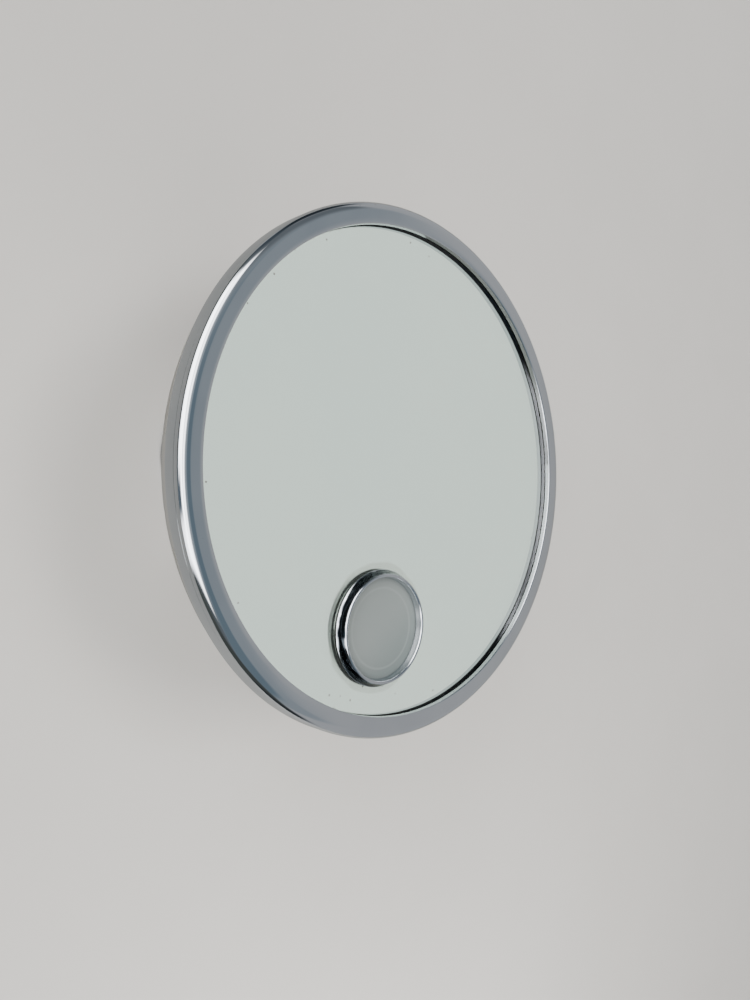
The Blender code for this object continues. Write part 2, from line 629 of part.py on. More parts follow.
def make_switch(head):
    """A toggle switch on the shell's back, with its bush through the shell, and the lever in its own body."""
    at = (SWITCH_X, 0, SWITCH_Z)
    front = SHELL_BACK_Y - SHELL_WALL - GAP
    mouth = SHELL_BACK_Y + 5.5
    case = extruded([box_outline(7, 10)], front - SWITCH_DEPTH, front, "Y")
    obj = finish("switch_body", case, "bakelite", head, at)
    combine(obj, "UNION", rod(BUSH_R, front - 1, mouth, "Y", 20), at)
    combine(obj, "DIFFERENCE", rod(3.7, front - 1, mouth + 1, "Y", 16), at)
    low = SHELL_BACK_Y + GAP
    nut = extruded([circle((0, 0), 8, 6), circle((0, 0), BUSH_R + GAP, 18)], low, low + 2, "Y")
    finish("switch_nut", nut, "nickel", head, at)
    pivot = (SWITCH_X, SHELL_BACK_Y + 1.4, SWITCH_Z)
    lever_frame = body_frame("lever_frame", pivot, head)
    stem = [(0, -2.4), (1.9, -1.4), (2.3, 0), (1.3, 2.2), (1.2, 5), (2.3, 14), (2.1, 15.8), (0, 17)]
    mesh = turned(stem, "Y", 14)
    bmesh.ops.rotate(mesh, cent=(0, 0, 0), matrix=Matrix.Rotation(-LEVER_TILT, 3, "X"), verts=mesh.verts)
    finish("switch_lever", mesh, "chrome", lever_frame, pivot)


def curve_value(values, t):
    """A value part of the way from the second of four to the third, on a smooth curve through them all."""
    p, q, r, s = values
    return 0.5 * (2 * q + (r - p) * t + (2 * p - 5 * q + 4 * r - s) * t**2 + (3 * q - p - 3 * r + s) * t**3)


def lead(name, points, finish_name, head):
    """A lead inside the head: a tube along a smooth curve through its route."""
    knots = [points[0], *points, points[-1]]
    smooth = []
    for a, b, c, d in zip(knots, knots[1:], knots[2:], knots[3:]):
        for i in range(4):
            t = i / 4
            smooth.append([curve_value(values, t) for values in zip(a, b, c, d)])
    smooth.append(points[-1])
    curve = bpy.data.curves.new(name, "CURVE")
    curve.dimensions = "3D"
    curve.bevel_depth = 1.1 * MM
    curve.bevel_resolution = 1
    curve.use_fill_caps = True
    spline = curve.splines.new("POLY")
    spline.points.add(len(smooth) - 1)
    for point, at in zip(spline.points, smooth):
        point.co = (*[value * MM for value in at], 1)
    curve.materials.append(material(finish_name))
    obj = bpy.data.objects.new(name, curve)
    bpy.context.scene.collection.objects.link(obj)
    place(obj, head, (0, 0, 0))


def make_leads(head):
    """From the inlet to the lamp, from the inlet to the switch, and from the switch to the lamp."""
    top = SOCKET_TOP_Z + GAP
    terminals = SHELL_BACK_Y - SHELL_WALL - GAP - SWITCH_DEPTH - 0.5
    inlet = SHELL_BACK_Y - SHELL_WALL - 3.2
    neutral = [
        (-2.6, BULB_Y, top), (-3, BULB_Y, -24), (-12, -144, -15), (-24, -143, -22),
        (-31.4, -138, GROMMET_Z + 0.4), (-31.4, inlet, GROMMET_Z),
    ]
    lamp = [
        (2.6, BULB_Y, top), (3, BULB_Y, -24), (14, -148, -17), (30, -152.5, -26),
        (42, -153, -38), (SWITCH_X, -151.5, -45), (SWITCH_X, terminals, -47),
    ]
    live = [
        (-28.6, inlet, GROMMET_Z), (-28.6, -138, GROMMET_Z), (-22, -146, -40), (-16, -153.5, -10),
        (6, -154.5, -8), (34, -154.5, -18), (51, -154, -40), (48, -152, -53), (SWITCH_X, terminals, -57),
    ]
    lead("lead_neutral", neutral, "blue_lead", head)
    lead("lead_lamp", lamp, "brown_lead", head)
    lead("lead_live", live, "brown_lead", head)


def main():
    clear_scene()
    wall = body_frame("wall_frame", (0, 0, 0))
    make_wall_plate(wall)
    make_rosette_cover(wall)
    make_wall_fasteners(wall)
    make_terminal_block(wall)
    wall_grommet = turned(grommet_profile(COVER_FRONT_Y, COVER_FRONT_Y + 1, INLET_R), "Y", 12)
    finish("wall_grommet", wall_grommet, "rubber", wall, INLET_AT)
    channel("rear_channel", REAR_BASE_Y, -1, wall)
    front = make_tongs(wall)
    make_carriage(front)
    knuckle = body_frame("knuckle_frame", (0, SWIVEL_Y, HEAD_Z), front)
    make_knuckle(knuckle)
    head = body_frame("head_frame", (0, TILT_Y, HEAD_Z), knuckle)
    make_clevis(head)
    make_tilt_pin(head)
    make_ring_and_glass(head)
    make_window(head)
    make_shell(head)
    make_lamp(head)
    make_socket_bracket(head)
    make_switch(head)
    head_grommet = turned(grommet_profile(SHELL_BACK_Y - SHELL_WALL, SHELL_BACK_Y, INLET_R), "Y", 12)
    finish("head_grommet", head_grommet, "rubber", head, (GROMMET_X, 0, GROMMET_Z))
    make_leads(head)


main()
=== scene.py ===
"""Looks of the extendable shaving mirror: chromed ring, plate glass with a lamp window, and folded tongs.

Lengths in this script are in millimetres, and turned into metres where a mesh or an object is made. Places
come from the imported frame's boxes. +Z is up, the wall is the plane y = 0, and the mirror faces -Y.
"""

import json
import math

import bmesh
import bpy
from mathutils import Matrix, Vector


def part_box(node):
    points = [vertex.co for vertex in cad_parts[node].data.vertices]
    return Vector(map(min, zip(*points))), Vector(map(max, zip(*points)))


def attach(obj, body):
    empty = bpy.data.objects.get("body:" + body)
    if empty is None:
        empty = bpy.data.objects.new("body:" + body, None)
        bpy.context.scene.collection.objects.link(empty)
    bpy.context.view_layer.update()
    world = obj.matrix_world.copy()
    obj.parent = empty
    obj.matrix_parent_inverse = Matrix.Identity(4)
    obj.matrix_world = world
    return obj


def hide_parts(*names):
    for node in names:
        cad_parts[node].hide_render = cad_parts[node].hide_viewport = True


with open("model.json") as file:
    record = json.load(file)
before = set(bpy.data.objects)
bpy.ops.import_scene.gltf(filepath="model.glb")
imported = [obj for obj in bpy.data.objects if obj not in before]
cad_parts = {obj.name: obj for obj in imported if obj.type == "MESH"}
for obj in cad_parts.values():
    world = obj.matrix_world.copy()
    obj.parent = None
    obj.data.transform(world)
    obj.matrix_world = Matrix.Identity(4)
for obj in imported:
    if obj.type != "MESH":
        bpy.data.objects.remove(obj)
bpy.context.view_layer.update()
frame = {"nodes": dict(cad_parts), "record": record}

MM = 0.001
SLOTS = {row["node"]: row["material_slot"] for row in frame["record"]["subparts"]}
BODIES = {node: body for body, nodes in frame["record"]["behaviour"]["bodies"].items() for node in nodes}


# ---- Places, read from the frame in millimetres ----


def low(node):
    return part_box(node)[0] / MM


def high(node):
    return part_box(node)[1] / MM


def middle(node):
    return (low(node) + high(node)) / 2


def radius_of(node):
    return (high(node).x - low(node).x) / 2


GLASS = middle("mirror_glass")
GLASS_FRONT = low("mirror_glass").y
GLASS_BACK = high("mirror_glass").y
HEAD_AT = (0.0, 0.0, GLASS.z)
WINDOW = middle("window_bezel")
WINDOW_AT = (0.0, 0.0, WINDOW.z)
RING_R = radius_of("front_ring") + 0.1
RING_BACK = high("front_ring").y
BEAD_R = 4.6
BEAD_PROUD = 3.0
LIP_R = 114.6
BEZEL_R = radius_of("window_bezel")
BEZEL_HOLE_R = 22.9
CREST_AT = (24.41, 3.54)
CREST_R = 0.85
LENS_SEAT = 1.2

WINDOW_HOLE_R = 25.9        # in the glass and the plate, for the bezel's tube
CHANNEL_SCREWS = (-16, 16)  # heights of the screws that hold the channel
PLATE_SCREWS = (-30, 30)    # places across of the wall screws
CLEVIS_SCREWS = (13, -13)
ARM_TO_TILT = 18.0          # from the swivel pin forward to the tilt pin

LINK_LENGTH = 120.0
LINK_END_R = 5.25
LINK_INNER = 0.4
LINK_OUTER = 2.6
CHANNEL_INNER = 6.0
SHEET = 1.6
CHANNEL_OUTER = CHANNEL_INNER + SHEET
CHANNEL_PINS = {"rear_lower_pin": 1, "rear_slider_pin": -1, "front_slider_pin": 1, "front_lower_pin": -1}
PIN_HOLE_R = 2.3
PLAY = 0.3


# ---- Outlines ----


def arc(centre, radius, start, end, steps):
    """Points on an arc from one angle in degrees to another, both included. A pair of radii is an ellipse."""
    wide, tall = radius if isinstance(radius, tuple) else (radius, radius)
    turns = [math.radians(start + (end - start) * i / steps) for i in range(steps + 1)]
    return [(centre[0] + wide * math.cos(t), centre[1] + tall * math.sin(t)) for t in turns]


def circle(centre, radius, count=48):
    return arc(centre, radius, 0, 360 - 360 / count, count - 1)


def slot_outline(start, end, radius, steps=16):
    lean = math.degrees(math.atan2(end[1] - start[1], end[0] - start[0]))
    return arc(end, radius, lean - 90, lean + 90, steps) + arc(start, radius, lean + 90, lean + 270, steps)


def rounded_box(half_u, half_v, radius, steps=6):
    points = []
    for turn, (u, v) in enumerate(((1, 1), (-1, 1), (-1, -1), (1, -1))):
        centre = (u * (half_u - radius), v * (half_v - radius))
        points += arc(centre, radius, 90 * turn, 90 * turn + 90, steps)
    return points


def rounded(points, radius, steps=4):
    """A closed outline with every corner turned into a small arc, by a quadratic curve through the corner."""
    out = []
    count = len(points)
    for i, here in enumerate(points):
        here = Vector(here)
        before, after = Vector(points[i - 1]) - here, Vector(points[(i + 1) % count]) - here
        reach = min(radius, before.length * 0.45, after.length * 0.45)
        start, end = here + before.normalized() * reach, here + after.normalized() * reach
        for k in range(steps + 1):
            t = k / steps
            out.append(tuple(start * (1 - t) ** 2 + here * 2 * t * (1 - t) + end * t**2))
    return out


# ---- Solids ----


def toward(axis):
    """The rotation that takes the +Y axis, on which turned solids are built, to the named axis."""
    if axis == "X":
        return Matrix.Rotation(math.radians(-90), 3, "Z")
    if axis == "Z":
        return Matrix.Rotation(math.radians(90), 3, "X")
    return Matrix.Identity(3)


def turned(profile, axis="Y", steps=64, at=(0, 0, 0), flutes=None):
    """A solid of revolution from a closed outline of (radius, distance along the axis).

    flutes is (count, depth, from_radius): ridges cut into what lies beyond that radius.
    """
    mesh = bmesh.new()
    verts = [mesh.verts.new((max(r, 0), along, 0)) for r, along in profile]
    edges = [mesh.edges.new(pair) for pair in zip(verts, verts[1:] + verts[:1])]
    bmesh.ops.spin(
        mesh, geom=verts + edges, cent=(0, 0, 0), axis=(0, 1, 0), angle=math.tau, steps=steps, use_merge=True
    )
    bmesh.ops.remove_doubles(mesh, verts=mesh.verts, dist=1e-4)
    bmesh.ops.delete(mesh, geom=[e for e in mesh.edges if not e.link_faces], context="EDGES")
    if flutes:
        count, depth, from_radius = flutes
        for vert in mesh.verts:
            radius = math.hypot(vert.co.x, vert.co.z)
            if radius > from_radius:
                wave = 0.5 + 0.5 * math.cos(count * math.atan2(vert.co.z, vert.co.x))
                shrink = 1 - depth * wave * min(1, (radius - from_radius) / depth) / radius
                vert.co.x *= shrink
                vert.co.z *= shrink
    bmesh.ops.rotate(mesh, cent=(0, 0, 0), matrix=toward(axis), verts=mesh.verts)
    bmesh.ops.translate(mesh, verts=mesh.verts, vec=at)
    return mesh


def rod(radius, start, end, axis="Y", steps=40, at=(0, 0, 0)):
    return turned([(0, start), (radius, start), (radius, end), (0, end)], axis, steps, at)


def extruded(loops, start, end, axis, at=(0, 0, 0)):
    """A plate: an outline and its holes, drawn out along an axis.

    The outline is in (y, z) across X, in (x, z) across Y and in (x, y) across Z.
    """
    order = {"X": (2, 0, 1), "Y": (0, 2, 1), "Z": (0, 1, 2)}[axis]

    def point(u, v, w):
        return [(u, v, w)[i] for i in order]

    mesh = bmesh.new()
    edges = []
    for loop in loops:
        verts = [mesh.verts.new(point(u, v, start)) for u, v in loop]
        edges += [mesh.edges.new(pair) for pair in zip(verts, verts[1:] + verts[:1])]
    filled = bmesh.ops.triangle_fill(mesh, use_beauty=True, use_dissolve=False, edges=edges)
    faces = [item for item in filled["geom"] if isinstance(item, bmesh.types.BMFace)]
    drawn = bmesh.ops.extrude_face_region(mesh, geom=faces)
    moved = [item for item in drawn["geom"] if isinstance(item, bmesh.types.BMVert)]
    bmesh.ops.translate(mesh, verts=moved, vec=point(0, 0, end - start))
    bmesh.ops.dissolve_limit(
        mesh, angle_limit=math.radians(1), use_dissolve_boundaries=False, verts=mesh.verts, edges=mesh.edges
    )
    bmesh.ops.translate(mesh, verts=mesh.verts, vec=at)
    return mesh


def outward(mesh):
    bmesh.ops.recalc_face_normals(mesh, faces=mesh.faces)
    if mesh.calc_volume(signed=True) < 0:
        bmesh.ops.reverse_faces(mesh, faces=mesh.faces)
    return mesh


def loose_object(name, mesh):
    """An object from a bmesh in millimetres."""
    outward(mesh)
    bmesh.ops.scale(mesh, vec=(MM, MM, MM), verts=mesh.verts)
    data = bpy.data.meshes.new(name)
    mesh.to_mesh(data)
    mesh.free()
    obj = bpy.data.objects.new(name, data)
    bpy.context.scene.collection.objects.link(obj)
    return obj


def bake(obj):
    """Turns the object's modifiers into plain mesh."""
    graph = bpy.context.evaluated_depsgraph_get()
    data = bpy.data.meshes.new_from_object(obj.evaluated_get(graph))
    obj.modifiers.clear()
    old = obj.data
    obj.data = data
    bpy.data.meshes.remove(old)


def combined(name, first, steps):
    """A solid made of others, from (operation, bmesh) steps, with Booleans that are applied at once."""
    obj = loose_object(name, first)
    tools = []
    for operation, mesh in steps:
        tool = loose_object(f"{name}_tool", mesh)
        boolean = obj.modifiers.new(operation, "BOOLEAN")
        boolean.operation = operation
        boolean.solver = "EXACT"
        boolean.object = tool
        tools.append(tool)
    bpy.context.view_layer.update()
    bake(obj)
    for tool in tools:
        data = tool.data
        bpy.data.objects.remove(tool)
        bpy.data.meshes.remove(data)
    return obj


def piece(name, made, finish, nodes, bevel=0.0, sharp=40, segments=2):
    """Makes a mesh or an object a finished piece that stands for its CAD nodes and rides on their body."""
    obj = made if isinstance(made, bpy.types.Object) else loose_object(name, made)
    obj.name = obj.data.name = name
    obj.data.shade_smooth()
    obj.data.set_sharp_from_angle(angle=math.radians(sharp))
    if bevel:
        soften = obj.modifiers.new("soft edges", "BEVEL")
        soften.harden_normals = True
        soften.width = bevel * MM
        soften.segments = segments
        soften.limit_method = "ANGLE"
        soften.angle_limit = math.radians(38)
        soften.use_clamp_overlap = True
        bpy.context.view_layer.update()
        bake(obj)
    obj.data.materials.clear()
    obj.data.materials.append(finish)
    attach(obj, BODIES[nodes[0]])
    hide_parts(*nodes)
    return obj


# ---- Node helpers ----


class NodeTree:
    """Short calls that add shader nodes to one tree and link them."""

    def __init__(self, tree):
        self.tree = tree

    def fill(self, socket, value):
        if isinstance(value, bpy.types.NodeSocket):
            self.tree.links.new(value, socket)
        else:
            socket.default_value = value

    def node(self, kind, inputs=None, **settings):
        made = self.tree.nodes.new(kind)
        for key, value in settings.items():
            setattr(made, key, value)
        for key, value in (inputs or {}).items():
            self.fill(made.inputs[key], value)
        return made

    def maths(self, operation, a, b=0.0):
        return self.node("ShaderNodeMath", {0: a, 1: b}, operation=operation).outputs[0]

    def steps(self, value, at_zero, at_one):
        """Maps a value to 0..1 smoothly between two levels."""
        inputs = {"Value": value, "From Min": at_zero, "From Max": at_one}
        return self.node("ShaderNodeMapRange", inputs, interpolation_type="SMOOTHSTEP").outputs[0]

    def blend(self, share, a, b):
        made = self.node("ShaderNodeMix", data_type="RGBA")
        for key, value in ((0, share), (6, a), (7, b)):
            self.fill(made.inputs[key], (*value, 1.0) if isinstance(value, tuple) else value)
        return made.outputs[2]


class Shading(NodeTree):
    """A procedural material under construction: a Principled shader and what feeds it."""

    def __init__(self, name, colour, metallic=0.0, roughness=0.5, **sockets):
        self.material = bpy.data.materials.new(name)
        self.material.use_nodes = True
        super().__init__(self.material.node_tree)
        self.shader = self.tree.nodes["Principled BSDF"]
        self.set("Base Color", (*colour, 1.0))
        self.set("Metallic", metallic)
        self.set("Roughness", roughness)
        for socket, value in sockets.items():
            self.set(socket.replace("_", " "), value)

    def set(self, socket, value):
        self.fill(self.shader.inputs[socket], value)

    def coords(self, scale=(1, 1, 1), shift=(0, 0, 0)):
        place = self.node("ShaderNodeTexCoord").outputs["Object"]
        return self.node("ShaderNodeMapping", {"Vector": place, "Scale": scale, "Location": shift}).outputs[0]

    def noise(self, size, detail=3.0, stretch=(1, 1, 1), rough=0.55, twist=0.0):
        """Noise whose features are about size millimetres across, drawn out where stretch is over 1."""
        scale = tuple(1000 / size / s for s in stretch)
        inputs = {"Vector": self.coords(scale), "Scale": 1.0, "Detail": detail, "Roughness": rough}
        return self.node("ShaderNodeTexNoise", {**inputs, "Distortion": twist}).outputs["Fac"]

    def spots(self, size, reach):
        """Round spots on a grid of about size millimetres: 1 in a spot and 0 between."""
        inputs = {"Vector": self.coords((1000 / size,) * 3), "Scale": 1.0}
        distance = self.node("ShaderNodeTexVoronoi", inputs).outputs["Distance"]
        return self.steps(distance, reach, reach * 0.5)

    def scaled(self, value, start, end, from_low=0.0, from_high=1.0):
        inputs = {"Value": value, "From Min": from_low, "From Max": from_high, "To Min": start, "To Max": end}
        return self.node("ShaderNodeMapRange", inputs).outputs[0]

    def paint(self, share, a, b):
        self.set("Base Color", self.blend(share, a, b))

    def dull(self, a, b):
        """Roughness as a sum."""
        self.set("Roughness", self.maths("ADD", a, b))

    def bump(self, height, depth, strength=1.0, under=None):
        """Relief of about depth millimetres."""
        inputs = {"Height": height, "Distance": depth * MM, "Strength": strength}
        if under:
            inputs["Normal"] = under
        return self.node("ShaderNodeBump", inputs).outputs[0]

    def from_centre(self, at):
        """Distance in millimetres from an axis along Y through a point."""
        place = self.coords((1000, 0, 1000), (-at[0], 0, -at[2]))
        return self.node("ShaderNodeVectorMath", {0: place}, operation="LENGTH").outputs["Value"]


# ---- Finishes ----


def chrome(name, wear=0.5, dark_reflection_band=None):
    """Bright chromium: faint smears, fine marks and a few pits where the plating has gone.

    The last argument, if given, is (point, from_radius, to_radius): a band round an axis along Y, painted
    near black as a painted dark reflection.
    """
    made = Shading(name, (0.54, 0.565, 0.60), 1.0, 0.05)
    smear = made.noise(38, 3, rough=0.6)
    fine = made.noise(0.7, 4)
    pits = made.maths("MULTIPLY", made.spots(4.5, 0.08), made.steps(made.noise(60, 2), 0.5, 0.6))
    haze = made.maths("ADD", made.scaled(smear, 0.025, 0.085, 0.3, 0.75), made.scaled(fine, 0.0, 0.04 * wear))
    made.dull(haze, made.scaled(pits, 0.0, 0.4))
    tint = made.blend(made.steps(smear, 0.35, 0.75), (0.56, 0.585, 0.615), (0.52, 0.545, 0.58))
    tint = made.blend(pits, tint, (0.12, 0.09, 0.07))
    if dark_reflection_band:
        # Painted dark reflection: the band is painted near black where the chrome would mirror something
        # dark.
        centre, inner, outer = dark_reflection_band
        reach = made.maths("ADD", made.from_centre(centre), made.scaled(made.noise(3, 3), -0.35, 0.35))
        starts = made.steps(reach, inner - 0.2, inner + 0.3)
        band = made.maths("MULTIPLY", starts, made.steps(reach, outer + 0.2, outer - 0.3))
        tint = made.blend(made.scaled(band, 0.0, 0.97), tint, (0.02, 0.026, 0.031))
    made.set("Base Color", tint)
    relief = made.bump(fine, 0.002 * wear)
    made.set("Normal", made.bump(pits, -0.05, 0.6, relief))
    return made.material


def nickel(name, grain=(1, 1, 18)):
    """Satin nickel on brass, brushed along one axis, yellowed a little and dusty in places."""
    made = Shading(name, (0.60, 0.58, 0.54), 1.0, 0.3)
    brushed = made.noise(0.35, 3, stretch=grain)
    tarnish = made.noise(14, 5, rough=0.65)
    tint = made.blend(made.steps(tarnish, 0.45, 0.78), (0.62, 0.605, 0.575), (0.44, 0.39, 0.31))
    made.paint(made.scaled(brushed, 0.0, 0.35), tint, (0.42, 0.41, 0.39))
    made.dull(made.scaled(brushed, 0.2, 0.36), made.scaled(tarnish, -0.04, 0.14))
    made.set("Normal", made.bump(brushed, 0.006))
    return made.material


def spun_nickel(name, at):
    """Satin nickel with the fine rings that spinning and polishing leave round the axis."""
    made = Shading(name, (0.58, 0.57, 0.55), 1.0, 0.25)
    outward_steps = made.maths("MULTIPLY", made.from_centre(at), 2.2)
    rings = made.node("ShaderNodeCombineXYZ", {"X": outward_steps}).outputs[0]
    grooves = made.node("ShaderNodeTexNoise", {"Vector": rings, "Scale": 1.0, "Detail": 4.0}).outputs["Fac"]
    smear = made.noise(45, 4, rough=0.62)
    marks = made.noise(0.5, 2, stretch=(24, 1, 2), twist=0.4)
    tint = made.blend(made.steps(smear, 0.42, 0.78), (0.61, 0.60, 0.585), (0.50, 0.475, 0.43))
    made.set("Base Color", tint)
    made.dull(made.scaled(smear, 0.16, 0.34, 0.3, 0.75), made.scaled(grooves, -0.04, 0.05))
    made.set("Normal", made.bump(marks, 0.0015, 1.0, made.bump(grooves, 0.01)))
    return made.material


def steel(name, colour=(0.50, 0.50, 0.51), roughness=0.34, size=0.5):
    """Plated steel: grainy, with grey bloom and a trace of rust in the hollows."""
    made = Shading(name, colour, 1.0, roughness)
    grain = made.noise(size, 4)
    bloom = made.noise(7, 5, rough=0.7)
    rust = made.steps(made.maths("MULTIPLY", bloom, made.noise(3, 3)), 0.36, 0.46)
    tint = made.blend(made.steps(bloom, 0.4, 0.7), colour, tuple(c * 0.74 for c in colour))
    made.paint(rust, tint, (0.24, 0.13, 0.07))
    made.set("Metallic", made.scaled(rust, 1.0, 0.35))
    made.dull(made.scaled(grain, roughness - 0.08, roughness + 0.1), made.scaled(rust, 0, 0.3))
    made.set("Normal", made.bump(grain, 0.006))
    return made.material


def brass(name):
    """Bare brass that has gone brown in patches."""
    made = Shading(name, (0.70, 0.53, 0.26), 1.0, 0.28)
    patches = made.noise(6, 5, rough=0.68)
    lines = made.noise(0.4, 3, stretch=(1, 10, 1))
    made.paint(made.steps(patches, 0.42, 0.72), (0.72, 0.55, 0.28), (0.36, 0.23, 0.11))
    made.dull(made.scaled(patches, 0.16, 0.4), made.scaled(lines, -0.05, 0.07))
    made.set("Normal", made.bump(lines, 0.008))
    return made.material


def clear_glass():
    """Plate glass with its faint green, and wiping streaks that dull it a little."""
    made = Shading("plate_glass", (0.955, 0.985, 0.965), 0.0, 0.0, Transmission_Weight=1.0, IOR=1.5)
    streaks = made.noise(9, 4, stretch=(1, 1, 5), twist=0.6)
    made.set("Roughness", made.scaled(made.steps(streaks, 0.5, 0.82), 0.0, 0.018))
    return made.material


def silver():
    """The silvering behind the glass: even, spotted near the rim, and bleached in a ring round the window."""
    made = Shading("silvering", (0.86, 0.89, 0.86), 1.0, 0.02)
    rim = made.from_centre(HEAD_AT)
    hole = made.from_centre(WINDOW_AT)
    ragged = made.noise(4.5, 5, rough=0.7)
    creep = made.maths("ADD", rim, made.scaled(ragged, -2.6, 2.6))
    worn = made.steps(creep, LIP_R - 0.6, LIP_R + 1.4)
    uneven = made.noise(16, 2)
    halo_edge = made.maths("ADD", hole, made.scaled(uneven, -1.6, 1.6))
    bleached = made.steps(halo_edge, BEZEL_R + 4.0, BEZEL_R + 2.6)
    chips = made.maths("MULTIPLY", made.spots(5, 0.11), made.steps(hole, BEZEL_R + 3.4, BEZEL_R + 1.8))
    spots = made.maths("MULTIPLY", made.spots(7, 0.09), made.steps(rim, LIP_R - 14, LIP_R - 1))
    lost = made.maths("MAXIMUM", made.maths("MAXIMUM", worn, chips), spots)
    haze = made.noise(70, 3)
    tint = made.blend(made.steps(haze, 0.35, 0.7), (0.85, 0.89, 0.865), (0.87, 0.90, 0.87))
    tint = made.blend(made.scaled(bleached, 0.0, 0.8), tint, (0.72, 0.745, 0.70))
    made.paint(lost, tint, (0.20, 0.17, 0.13))
    made.dull(made.scaled(lost, 0.012, 0.4), made.scaled(bleached, 0.0, 0.22))
    return made.material


def frosted(name, colour=(0.42, 0.46, 0.46)):
    """Acid-frosted glass: a fine grain that scatters, and a paler, cooler body behind it."""
    made = Shading(name, colour, 0.0, 0.5, IOR=1.5, Transmission_Weight=0.12)
    grain = made.noise(0.22, 3)
    cloud = made.noise(12, 3)
    made.paint(made.steps(cloud, 0.3, 0.75), colour, tuple(c * 1.09 for c in colour))
    made.set("Roughness", made.scaled(grain, 0.42, 0.62))
    made.set("Normal", made.bump(grain, 0.012, 0.5))
    return made.material


def lens_glass():
    """The window's frosted lens, unlit: grey, with painted shade toward its lower right and a painted shaded
    rim under the bezel, and a moulded ring.
    """
    made = Shading("lens_frosting", (0.16, 0.185, 0.18), 0.0, 0.5, IOR=1.5)
    grain = made.noise(0.22, 3)
    cloud = made.noise(12, 3)
    place = made.coords((1000, 1000, 1000), (0, 0, -WINDOW_AT[2]))
    across = made.node("ShaderNodeSeparateXYZ", {0: place}).outputs
    rightward, upward = made.maths("MULTIPLY", across[0], 0.8), made.maths("MULTIPLY", across[2], 0.6)
    toward_shaded_corner = made.maths("SUBTRACT", rightward, upward)
    # Painted shade: the lens is darker toward its lower right.
    shade = made.blend(made.steps(toward_shaded_corner, -4, 24), (0.172, 0.193, 0.19), (0.12, 0.148, 0.146))
    from_middle = made.from_centre(WINDOW_AT)
    ring = made.maths("MULTIPLY", made.steps(from_middle, 17.6, 18.4), made.steps(from_middle, 19.4, 18.6))
    shade = made.blend(made.scaled(ring, 0.0, 0.5), shade, (0.22, 0.245, 0.24))
    # Painted shade: the lens darkens toward its rim, under the bezel's crest.
    rim = made.steps(from_middle, 20.5, 22.8)
    shade = made.blend(made.scaled(rim, 0.0, 0.55), shade, (0.10, 0.115, 0.115))
    made.paint(made.scaled(cloud, 0.0, 0.16), shade, (0.23, 0.24, 0.235))
    made.set("Roughness", made.scaled(grain, 0.42, 0.62))
    made.set("Normal", made.bump(grain, 0.012, 0.5))
    return made.material


def bakelite():
    """Phenolic moulding, nearly black, with a brown fleck and softened gloss."""
    made = Shading("bakelite", (0.045, 0.028, 0.02), 0.0, 0.3, IOR=1.58)
    fleck = made.noise(1.1, 5, rough=0.7)
    wipe = made.noise(8, 3)
    made.paint(made.steps(fleck, 0.52, 0.75), (0.035, 0.022, 0.016), (0.11, 0.055, 0.03))
    made.set("Roughness", made.scaled(wipe, 0.2, 0.42))
    made.set("Normal", made.bump(fleck, 0.01, 0.4))
    return made.material


def porcelain():
    """Glazed porcelain with pinholes."""
    made = Shading("porcelain", (0.82, 0.80, 0.75), 0.0, 0.16, IOR=1.52, Coat_Weight=0.6, Coat_Roughness=0.05)
    body = made.noise(5, 4)
    pinholes = made.spots(3, 0.07)
    made.paint(made.steps(body, 0.35, 0.75), (0.84, 0.82, 0.77), (0.76, 0.73, 0.66))
    made.set("Normal", made.bump(pinholes, -0.04, 0.6))
    return made.material


def rubber():
    """Black rubber with a grey bloom."""
    made = Shading("grommet_rubber", (0.03, 0.03, 0.03), 0.0, 0.7)
    bloom = made.noise(3, 5, rough=0.7)
    made.paint(made.steps(bloom, 0.45, 0.8), (0.025, 0.025, 0.026), (0.10, 0.10, 0.095))
    made.set("Roughness", made.scaled(bloom, 0.55, 0.85))
    made.set("Normal", made.bump(made.noise(0.3, 2), 0.02, 0.5))
    return made.material


def felt():
    """Pressed grey-green felt: short crossing fibres."""
    made = Shading("felt", (0.17, 0.19, 0.17), 0.0, 0.95, Sheen_Weight=0.5, Sheen_Roughness=0.5)
    across, upright = made.noise(0.35, 3, stretch=(9, 1, 1)), made.noise(0.35, 3, stretch=(1, 1, 9))
    fibres = made.maths("MAXIMUM", across, upright)
    made.paint(fibres, (0.12, 0.14, 0.12), (0.27, 0.29, 0.26))
    made.set("Normal", made.bump(fibres, 0.15))
    return made.material


def wire(name, colour):
    """Insulated wire under a woven sleeve."""
    made = Shading(name, colour, 0.0, 0.6)
    weave = made.noise(0.5, 2, stretch=(1, 1, 3))
    made.paint(weave, tuple(c * 0.6 for c in colour), tuple(c * 1.4 for c in colour))
    made.set("Normal", made.bump(weave, 0.06))
    return made.material


def reflector_sheet():
    made = Shading("reflector_sheet", (0.80, 0.80, 0.78), 1.0, 0.2)
    rolled = made.noise(0.4, 3, stretch=(1, 1, 20))
    scorch = made.noise(12, 4)
    made.paint(made.steps(scorch, 0.5, 0.8), (0.82, 0.82, 0.80), (0.55, 0.50, 0.42))
    made.set("Roughness", made.scaled(rolled, 0.12, 0.28))
    made.set("Normal", made.bump(rolled, 0.005))
    return made.material


# ---- Head: frame, glass and window ----


